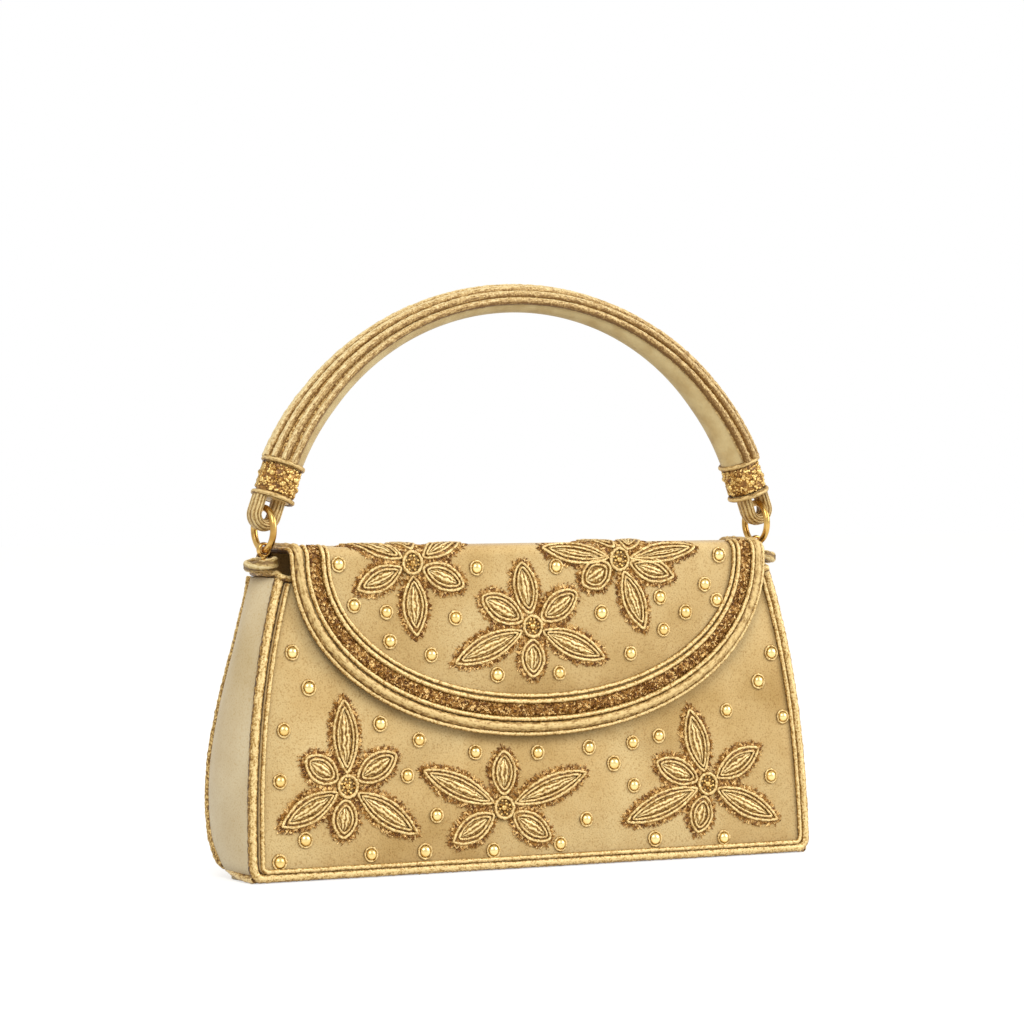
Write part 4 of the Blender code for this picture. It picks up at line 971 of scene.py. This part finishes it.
def addEye(outlines, eyes, profile, lean, centre):
    # The flower's middle: a knob among grains, inside a ring of cord
    x, d = centre[0] * mm, centre[1] * mm
    ring = [profile.place(x + flowerEye["ring"] * math.cos(a), d + flowerEye["ring"] * math.sin(a), flowerEye["lift"])
            for a in around(32)]
    addCord(outlines, ring, lean, flowerEye["cord"], step=0.4 * mm, **thread)
    at = profile.place(x, d, flowerEye["knobLift"])
    bmesh.ops.create_icosphere(eyes, subdivisions=2, radius=flowerEye["knob"], matrix=Matrix.Translation(at))
    for i, r in enumerate(flowerEye["rows"], 1):
        a = i * flowerEye["turn"]
        at = profile.place(x + r * math.cos(a), d + r * math.sin(a), flowerEye["grainLift"])
        bmesh.ops.create_icosphere(eyes, subdivisions=2, radius=flowerEye["grain"], matrix=Matrix.Translation(at))


def makeFlowers(word, profile, bodyName, nodes):
    outlines, pads, fills, eyes, strokes = newShape(), newShape(), newShape(), newShape(), []
    lean = outOf(profile)
    for centre, leaves in flowers[word]:
        for petal in leaves:
            loop = petalLoop(petal, centre, petals["outlineInset"])
            path = [profile.place(p.x, p.y, petals["outlineLift"]) for p in loop]
            addCord(outlines, path, lean, petals["outline"], **thread)
            inner = petalLoop(petal, centre, petals["innerInset"])
            path = [profile.place(p.x, p.y, petals["innerLift"]) for p in inner]
            addCord(outlines, path, lean, petals["inner"], **thread)
            addPad(pads, profile, petal, centre, *petals["ground"])
            addPad(fills, profile, petal, centre, *petals["fill"])
            addHalo(strokes, profile, loop)
        addEye(outlines, eyes, profile, lean, centre)
    finish(word + "_petal_outlines", outlines, goldCord, bodyName, nodes)
    for name, shape, material, slotName in (("_petal_ground", pads, grooveThread, "bronze_thread"),
                                            ("_petal_stitches", fills, satinThread, "gold_cord")):
        bmesh.ops.remove_doubles(shape, verts=shape.verts, dist=1e-6)
        thicken(finish(word + name, shape, material, bodyName, flat=True), petals["skin"])
    finish(word + "_flower_knots", eyes, filigree, bodyName)
    makeThreadsPiece(word + "_halo_threads", strokes, halo["radius"], darkThreads, bodyName)


def makeBeads(word, profile, bodyName):
    domes, rings = newShape(), newShape()
    lean = outOf(profile)
    for x, d in beads[word]:
        size = dice.uniform(*beads["sizes"])
        at = profile.place(x * mm, d * mm)
        out = lean(at, 0)
        tilt = Vector((0, 0, 1)).rotation_difference(out).to_matrix().to_4x4()
        radius = beads["radius"] * size
        squash = Matrix.Diagonal((1, 1, beads["height"] / radius, 1))
        bmesh.ops.create_uvsphere(domes, u_segments=20, v_segments=12, radius=radius,
                                  matrix=Matrix.Translation(at + out * beads["sink"]) @ tilt @ squash)
        radius = beads["ringRadius"] * size
        path = [profile.place(x * mm + radius * math.cos(a), d * mm + radius * math.sin(a), beads["ringLift"])
                for a in around(24)]
        addCord(rings, path, lean, beads["ringCord"], closed=True, sides=8, wobble=0.4)
    finish(word + "_beads", domes, beadGold, bodyName, angle=80)
    finish(word + "_bead_rings", rings, goldCord, bodyName)


makeFlowers("front", front, "bag", ["front_flower_left", "front_flower_centre", "front_flower_right"])
makeFlowers("cover", cover, "fold", ["flap_flower_left", "flap_flower_centre", "flap_flower_right"])
makeBeads("front", front, "bag")
makeBeads("cover", cover, "flap")
print("embroidery made")


# Rings, links and the corner loops they hang in

fittings = {
    "ringX": 100 * mm, "depth": -2 * mm, "ringHeight": 118.3 * mm, "ringRadius": 7.1 * mm, "wire": 1.15 * mm,
    "eyeRadius": 2.05 * mm, "eyeWire": 0.58 * mm, "eyeWidth": 1.0 * mm,
    "post": 1.0 * mm, "postTop": 1.7 * mm, "postFoot": 1.2 * mm,
    "sleeve": 1.8 * mm, "sleeveBore": 1.15 * mm, "sleeveHalf": 0.9 * mm, "sleeveEdge": 0.2 * mm,
    "loopX": 101 * mm, "loopHalfX": 3.8 * mm, "loopHalfY": 5.9 * mm, "loopCord": 1.9 * mm,
    "loopHeight": 106.4 * mm, "loopTilt": 0.8 * mm, "loopLay": 14 * mm, "loopMiddle": 3 * mm,
}


def addTurned(shape, profile, matrix, steps=48):
    # A closed profile of radius and height, spun about Z and then put in place
    verts = [shape.verts.new((r, 0, z)) for r, z in profile]
    edges = [shape.edges.new((a, b)) for a, b in zip(verts, verts[1:] + verts[:1])]
    bmesh.ops.spin(
        shape, geom=verts + edges, cent=(0, 0, 0), axis=(0, 0, 1), angle=2 * math.pi, steps=steps, use_merge=True)
    fresh = [v for v in shape.verts if not v.tag]
    bmesh.ops.transform(shape, matrix=matrix, verts=fresh)
    for vert in shape.verts:
        vert.tag = True  # in place, so that the next part leaves it alone


def circleProfile(major, halfR, halfZ):
    return [(major + halfR * math.cos(a), halfZ * math.sin(a)) for a in around(16)]


def addRod(shape, radius, length, matrix, segments=24, bevel=0.25 * mm):
    made = bmesh.ops.create_cone(shape, cap_ends=True, segments=segments, radius1=radius, radius2=radius,
                                 depth=length, matrix=matrix)
    rims = {e for v in made["verts"] for e in v.link_edges if len({f for f in e.link_faces if len(f.verts) > 4}) == 1}
    bmesh.ops.bevel(shape, geom=list(rims), offset=bevel, segments=2, profile=0.5, affect="EDGES", material=-1)
    for vert in shape.verts:
        vert.tag = True


def makeRing(word, side):
    shape = newShape()
    place = Matrix.Translation((side * fittings["ringX"], fittings["depth"], fittings["ringHeight"]))
    addTurned(shape, circleProfile(fittings["ringRadius"], fittings["wire"], fittings["wire"]),
              place @ Matrix.Rotation(math.pi / 2, 4, "Y"), 72)
    finish(word + "_round_ring", shape, giltBrass, word + "_ring", [word + "_ring"], angle=80)


def makeLink(word, side):
    # An eye on the ring, a post, and a sleeve on the bar of the corner loop
    x, y = side * fittings["ringX"], fittings["depth"]
    shape = newShape()
    eyeHeight = fittings["ringHeight"] - fittings["ringRadius"]
    addTurned(shape, circleProfile(fittings["eyeRadius"], fittings["eyeWire"], fittings["eyeWidth"]),
              Matrix.Translation((x, y, eyeHeight)) @ Matrix.Rotation(math.pi / 2, 4, "X"))
    top, bottom = eyeHeight - fittings["postTop"], fittings["loopHeight"] + fittings["postFoot"]
    addRod(shape, fittings["post"], top - bottom, Matrix.Translation((x, y, (top + bottom) / 2)))
    bore, sleeve, half = fittings["sleeveBore"], fittings["sleeve"], fittings["sleeveHalf"]
    edge = fittings["sleeveEdge"]
    addTurned(shape, [(bore, -half), (sleeve - edge, -half), (sleeve, edge - half), (sleeve, half - edge),
                      (sleeve - edge, half), (bore, half)],
              Matrix.Translation((x, y, fittings["loopHeight"])) @ Matrix.Rotation(math.pi / 2, 4, "Y"), 32)
    finish(word + "_swivel_link", shape, giltBrass, "bag", [word + "_link"], angle=50)


def makeCornerLoop(word, side):
    x, y, height = side * fittings["loopX"], fittings["depth"], fittings["loopHeight"]
    path = [Vector((x + fittings["loopHalfX"] * math.cos(a), y + fittings["loopHalfY"] * math.sin(a),
                    height - side * math.cos(a) * fittings["loopTilt"])) for a in around(48)]
    middle = Vector((x, y, height - fittings["loopMiddle"]))
    shape = newShape()
    addCord(shape, path, lambda spot, share: spot - middle, fittings["loopCord"], closed=True, strands=3,
            lay=fittings["loopLay"], groove=0.2, sides=6, wobble=0.2)
    finish(word + "_cord_loop", shape, loopCord, "bag", [word + "_corner_loop"])


def dressNode(name, material):
    node = bpy.data.objects[name]
    if not node.material_slots:
        node.data.materials.append(material)
    for holder in node.material_slots:
        holder.material = material


for word, side in (("left", -1), ("right", 1)):
    makeRing(word, side)
    makeLink(word, side)
    makeCornerLoop(word, side)
    dressNode(word + "_loop_bar", giltBrass)
print("rings and loops made")


# Handle

handle = {
    "halfWidth": 98.4 * mm, "rise": 87.7 * mm, "height": 110 * mm, "apex": 5 * mm, "foot": 7.25 * mm,
    "fade": math.radians(16), "inward": 0.8 * mm, "facets": 160,
    "rib": 1.3 * mm, "ribs": 7, "spread": math.radians(31), "ribSink": 0.55 * mm, "ribStart": math.radians(1.0),
    "neck": 5.6 * mm, "neckFoot": 2 * mm, "neckTop": 0.9 * mm, "neckFlare": 6.6 * mm, "clear": 0.3 * mm,
    "ferruleX": 94.6 * mm, "ferruleHeight": 134.4 * mm, "tilt": math.radians(20), "ferruleRadius": 7.1 * mm,
    "ferruleLength": 10 * mm, "shoulder": 2.9 * mm, "edgeRadius": 6.9 * mm, "edgeCord": 0.85 * mm,
    "edgeLift": 0.95 * mm,
}
ferrule = {"sink": 0.55 * mm, "taper": 0.4 * mm, "grains": 520, "grain": 0.5 * mm, "grainSizes": (0.7, 1.5),
           "cover": 0.9, "knobs": 9, "knob": 1.15 * mm, "knobRows": (-1.2 * mm, 1.4 * mm)}
strap = {"offset": 1.2 * mm, "leg": 3.7 * mm, "top": -6.2 * mm, "low": -16.1 * mm, "halfX": 2.1 * mm,
         "halfY": 4.0 * mm, "cords": 12, "collar": 1.6 * mm, "collarLift": 0.9 * mm}
shoulder = handle["ferruleLength"] / 2 + handle["shoulder"]
archStart = math.asin(
    (handle["ferruleHeight"] + shoulder * math.cos(handle["tilt"]) - handle["height"]) / handle["rise"])


def archPoint(angle):
    # The grip's middle line under its cords, and its outward direction
    spot = Vector((handle["halfWidth"] * math.cos(angle), 0.0, handle["rise"] * math.sin(angle)))
    out = Vector((math.cos(angle) / handle["halfWidth"], 0.0, math.sin(angle) / handle["rise"])).normalized()
    fromEnd = min(angle, math.pi - angle) - archStart
    inward = handle["inward"] * max(0.0, min(1.0, fromEnd / handle["fade"]))
    return spot + Vector((0, fittings["depth"], handle["height"])) - out * inward, out


def archAngles(start):
    return [start + (math.pi - 2 * start) * i / handle["facets"] for i in range(handle["facets"] + 1)]


def gripRadius(angle):
    return handle["apex"] + (handle["foot"] - handle["apex"]) * (math.cos(angle) / math.cos(archStart)) ** 2


def outOfArch(spot, share):
    rise = max(0.02, spot.z - handle["height"])
    return Vector((spot.x / handle["halfWidth"] ** 2, 0, rise / handle["rise"] ** 2)).normalized()


def makeGrip():
    necks = []
    for side in (1, -1):
        axis = Vector((-side * math.sin(handle["tilt"]), 0, math.cos(handle["tilt"])))
        middle = Vector((side * handle["ferruleX"], fittings["depth"], handle["ferruleHeight"]))
        necks.append([middle + axis * handle["neckFoot"], middle + axis * (shoulder - handle["neckTop"])])
    path = necks[0] + [archPoint(angle)[0] for angle in archAngles(archStart)] + necks[1][::-1]
    sizes = [gripRadius(angle) - handle["inward"] for angle in archAngles(archStart)]
    sizes = [handle["neck"], handle["neckFlare"]] + sizes + [handle["neckFlare"], handle["neck"]]
    marks = [0.0]
    for a, b in zip(path, path[1:]):
        marks.append(marks[-1] + (b - a).length)

    def sizeAt(share):
        want = share * marks[-1]
        for k in range(len(marks) - 1):
            if marks[k + 1] >= want:
                t = (want - marks[k]) / (marks[k + 1] - marks[k])
                return sizes[k] * (1 - t) + sizes[k + 1] * t
        return sizes[-1]
    makeCord("handle_cover", path, outOfArch, handle["foot"], gripCloth, "handle", ["handle_grip"], "panel_cloth",
             sides=40, step=1.2 * mm, radiusAt=sizeAt, wobble=0.0)


def makeRibs():
    for k in range(handle["ribs"]):
        turn = (k - (handle["ribs"] - 1) / 2) * handle["spread"]
        path = []
        for angle in archAngles(archStart - handle["ribStart"]):
            spot, out = archPoint(angle)
            reach = gripRadius(angle) - handle["ribSink"]
            path.append(spot + out * reach * math.cos(turn) + Vector((0, 1, 0)) * reach * math.sin(turn))
        nodes = ["handle_rib_%d" % k] if 0 < k < 6 else []  # the CAD has the middle five
        makeCord("handle_cord_%d" % (k + 1), path, outOfArch, handle["rib"], ribCord, "handle", nodes, step=0.6 * mm)


def makeFerrule(word, place):
    half = handle["ferruleLength"] / 2
    bore, skin = handle["neck"] + handle["clear"], handle["ferruleRadius"] - ferrule["sink"]
    rim = skin - ferrule["taper"]
    shape = newShape()
    addTurned(shape, [(bore, half), (rim, half), (skin, half * 0.75), (skin, -half * 0.75), (rim, -half),
                      (bore, -half)], place, 64)
    finish(word + "_ferrule_band", shape, grooveThread, "handle", [word + "_ferrule"], angle=60)
    shape = newShape()
    for _ in range(ferrule["grains"]):
        a, size = dice.uniform(0, 2 * math.pi), ferrule["grain"] * dice.uniform(*ferrule["grainSizes"])
        lift = half * dice.uniform(-ferrule["cover"], ferrule["cover"])
        spot = Vector((skin * math.cos(a), skin * math.sin(a), lift))
        bmesh.ops.create_icosphere(shape, subdivisions=1, radius=size, matrix=place @ Matrix.Translation(spot))
    for i in range(ferrule["knobs"]):
        a = 2 * math.pi * (i + 0.5) / ferrule["knobs"]
        spot = Vector((skin * math.cos(a), skin * math.sin(a), ferrule["knobRows"][i % 2]))
        bmesh.ops.create_icosphere(shape, subdivisions=2, radius=ferrule["knob"],
                                   matrix=place @ Matrix.Translation(spot))
    finish(word + "_ferrule_grains", shape, filigree, "handle", angle=80)
    radius, reach = handle["edgeRadius"], half + handle["edgeLift"]
    for level, lift in (("upper", reach), ("lower", -reach)):
        path = [place @ Vector((radius * math.cos(a), radius * math.sin(a), lift)) for a in around(48)]
        middle = place @ Vector((0, 0, lift))
        makeCord("%s_ferrule_%s_ring" % (word, level), path, lambda spot, share: spot - middle, handle["edgeCord"],
                 softCord, "handle", ["%s_ferrule_%s_cord" % (word, level)], closed=True)


def makeStrap(word, side, place):
    # Cords laid side by side in a loop that holds the ring
    offset, leg, turnAt = side * strap["offset"], strap["leg"], strap["low"] + strap["leg"]
    path = [Vector((offset - leg, 0, strap["top"])), Vector((offset - leg, 0, turnAt))]
    for i in range(1, 20):
        a = math.pi + math.pi * i / 20
        path.append(Vector((offset + leg * math.cos(a), 0, turnAt + leg * math.sin(a))))
    path += [Vector((offset + leg, 0, turnAt)), Vector((offset + leg, 0, strap["top"]))]
    shape = newShape()
    addCord(shape, [place @ p for p in path], lambda spot, share: Vector((0, 1, 0)), strap["halfX"], step=0.6 * mm,
            strands=strap["cords"], groove=0.1, sides=6, wobble=0.0, flat=strap["halfY"] / strap["halfX"])
    closeEnds(shape)
    collar = place @ Matrix.Translation((0, 0, -handle["ferruleLength"] / 2 - strap["collarLift"]))
    addRod(shape, handle["neck"] + handle["clear"], strap["collar"], collar, 40)
    finish(word + "_ring_strap", shape, strapCloth, "handle", [word + "_end_strap"])


makeGrip()
makeRibs()
for word, side in (("left", -1), ("right", 1)):
    place = Matrix.Translation((side * handle["ferruleX"], fittings["depth"], handle["ferruleHeight"]))
    place = place @ Matrix.Rotation(-side * handle["tilt"], 4, "Y")
    makeFerrule(word, place)
    makeStrap(word, side, place)
print("handle made")


# Snap and base

axisLine = 0.02 * mm  # a turned profile ends this near its axis


def makeSnap():
    tilt = Matrix.Rotation(math.pi / 2 - body["lean"], 4, "X")
    r, rim = snap["radius"], snap["radius"] - snap["rim"]
    deep, ledge, proud = -snap["socketDepth"], -snap["ledge"], snap["proud"]
    lip, throat, floor = snap["dimple"]
    shape = newShape()
    addTurned(shape, [(axisLine, deep), (r, deep), (r, ledge), (rim, proud), (lip, proud), (throat, ledge),
                      (floor, -snap["dimpleDepth"]), (axisLine, -snap["dimpleDepth"])],
              Matrix.Translation(front.place(0, snap["height"] / frontUp.y)) @ tilt)
    finish("snap_socket_plate", shape, giltBrass, "bag", ["snap_socket"], angle=35)
    edge, plate = snap["plate"]
    root, neck, tip = snap["nose"]
    side, end = snap["noseReach"]
    shape = newShape()
    addTurned(shape, [(axisLine, 0), (r, 0), (r, -edge), (rim, -plate), (root, -plate), (neck, -side), (tip, -end),
                      (axisLine, -end)],
              Matrix.Translation(cover.place(0, -snapDrop, -snap["studDepth"])) @ tilt)
    finish("snap_stud_plate", shape, giltBrass, "flap", ["snap_stud"], angle=35)


base = {"corner": 3 * mm, "edge": 0.5 * mm}


def makeBase():
    low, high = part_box("base_panel")
    shape = newShape()
    place = Matrix.Translation((low + high) / 2) @ Matrix.Diagonal((*(high - low), 1.0))
    bmesh.ops.create_cube(shape, size=1.0, matrix=place)
    for upright, offset, segments in ((True, base["corner"], 5), (False, base["edge"], 2)):
        edges = [e for e in shape.edges if (abs(e.verts[0].co.z - e.verts[1].co.z) > 1e-6) == upright]
        bmesh.ops.bevel(shape, geom=edges, offset=offset, segments=segments, profile=0.5, affect="EDGES", material=-1)
    finish("base_cloth", shape, sideNap, "bag", ["base_panel"])


makeSnap()
makeBase()
print("snap and base made")


# Floor, light and camera

studio = {
    "turn": 0.5383, "distance": 1.5389, "eyeHeight": 0.15065, "lens": 154.76, "shiftX": -0.003, "shiftY": -0.0772,
    "world": 0.78, "floorGlow": 0.66, "floorHalf": 4.0,
}
lamps = {
    "key": {"spot": (-0.9, -1.0, 1.3), "target": (0, 0, 0.1), "size": 0.9, "power": 13.5},
    "fill": {"spot": (1.2, -0.9, 0.8), "target": (0, 0, 0.08), "size": 1.0, "power": 13.0},
}


def makeFloor():
    made, tree, shader, _, _ = startMaterial("matt_white_board", 0.0, 0.9)
    tree.nodes.remove(shader)
    path = addNode(tree, "ShaderNodeLightPath")
    seen = addNode(tree, "ShaderNodeMath", {"operation": "MAXIMUM"},
                   {0: path.outputs["Is Camera Ray"], 1: path.outputs["Is Glossy Ray"]})
    strength = addNode(tree, "ShaderNodeMath", {"operation": "MULTIPLY", 1: studio["floorGlow"]},
                       {0: seen.outputs[0]})
    glow = addNode(tree, "ShaderNodeEmission", {"Color": linear("#ffffff")}, {"Strength": strength.outputs[0]})
    matt = addNode(tree, "ShaderNodeBsdfDiffuse", {"Color": linear("#b4b2ae")})
    both = addNode(tree, "ShaderNodeAddShader", {}, {0: glow.outputs[0], 1: matt.outputs[0]})
    tree.links.new(both.outputs[0], tree.nodes["Material Output"].inputs["Surface"])
    shape = bmesh.new()
    bmesh.ops.create_grid(shape, x_segments=1, y_segments=1, size=studio["floorHalf"])
    mesh = bpy.data.meshes.new("floor")
    shape.to_mesh(mesh)
    shape.free()
    mesh.materials.append(made)
    floor = bpy.data.objects.new("floor", mesh)
    bpy.context.scene.collection.objects.link(floor)


def makeWorld():
    world = bpy.data.worlds.new("studio")
    world.use_nodes = True
    bpy.context.scene.world = world
    tree = world.node_tree
    ground = tree.nodes["Background"]
    path = addNode(tree, "ShaderNodeLightPath")
    seen = addNode(tree, "ShaderNodeMath", {"operation": "MAXIMUM"},
                   {0: path.outputs["Is Camera Ray"], 1: path.outputs["Is Transmission Ray"]})
    level = addNode(tree, "ShaderNodeMapRange", {"To Min": studio["world"], "To Max": 1.0},
                    {"Value": seen.outputs[0]})
    ground.inputs["Color"].default_value = linear("#ffffff")
    tree.links.new(level.outputs["Result"], ground.inputs["Strength"])


def addLamp(name, spot, target, size, power):
    lamp = bpy.data.lights.new(name, "AREA")
    lamp.shape = "DISK"
    lamp.size = size
    lamp.energy = power
    holder = bpy.data.objects.new(name, lamp)
    holder.location = spot
    holder.rotation_euler = (Vector(target) - Vector(spot)).to_track_quat("-Z", "Y").to_euler()
    bpy.context.scene.collection.objects.link(holder)


def makeCamera():
    lens = bpy.data.cameras.new("camera")
    lens.sensor_width = 36
    lens.lens = studio["lens"]
    lens.shift_x, lens.shift_y = studio["shiftX"], studio["shiftY"]
    lens.clip_end = 20
    camera = bpy.data.objects.new("camera", lens)
    turn, away = studio["turn"], studio["distance"]
    camera.location = (-math.sin(turn) * away, -math.cos(turn) * away, studio["eyeHeight"])
    camera.rotation_euler = (math.pi / 2, 0, -turn)
    bpy.context.scene.collection.objects.link(camera)
    bpy.context.scene.camera = camera


makeFloor()
makeWorld()
for name, settings in lamps.items():
    addLamp(name, **settings)
makeCamera()
bpy.context.scene.view_settings.view_transform = "Standard"
print("studio made")
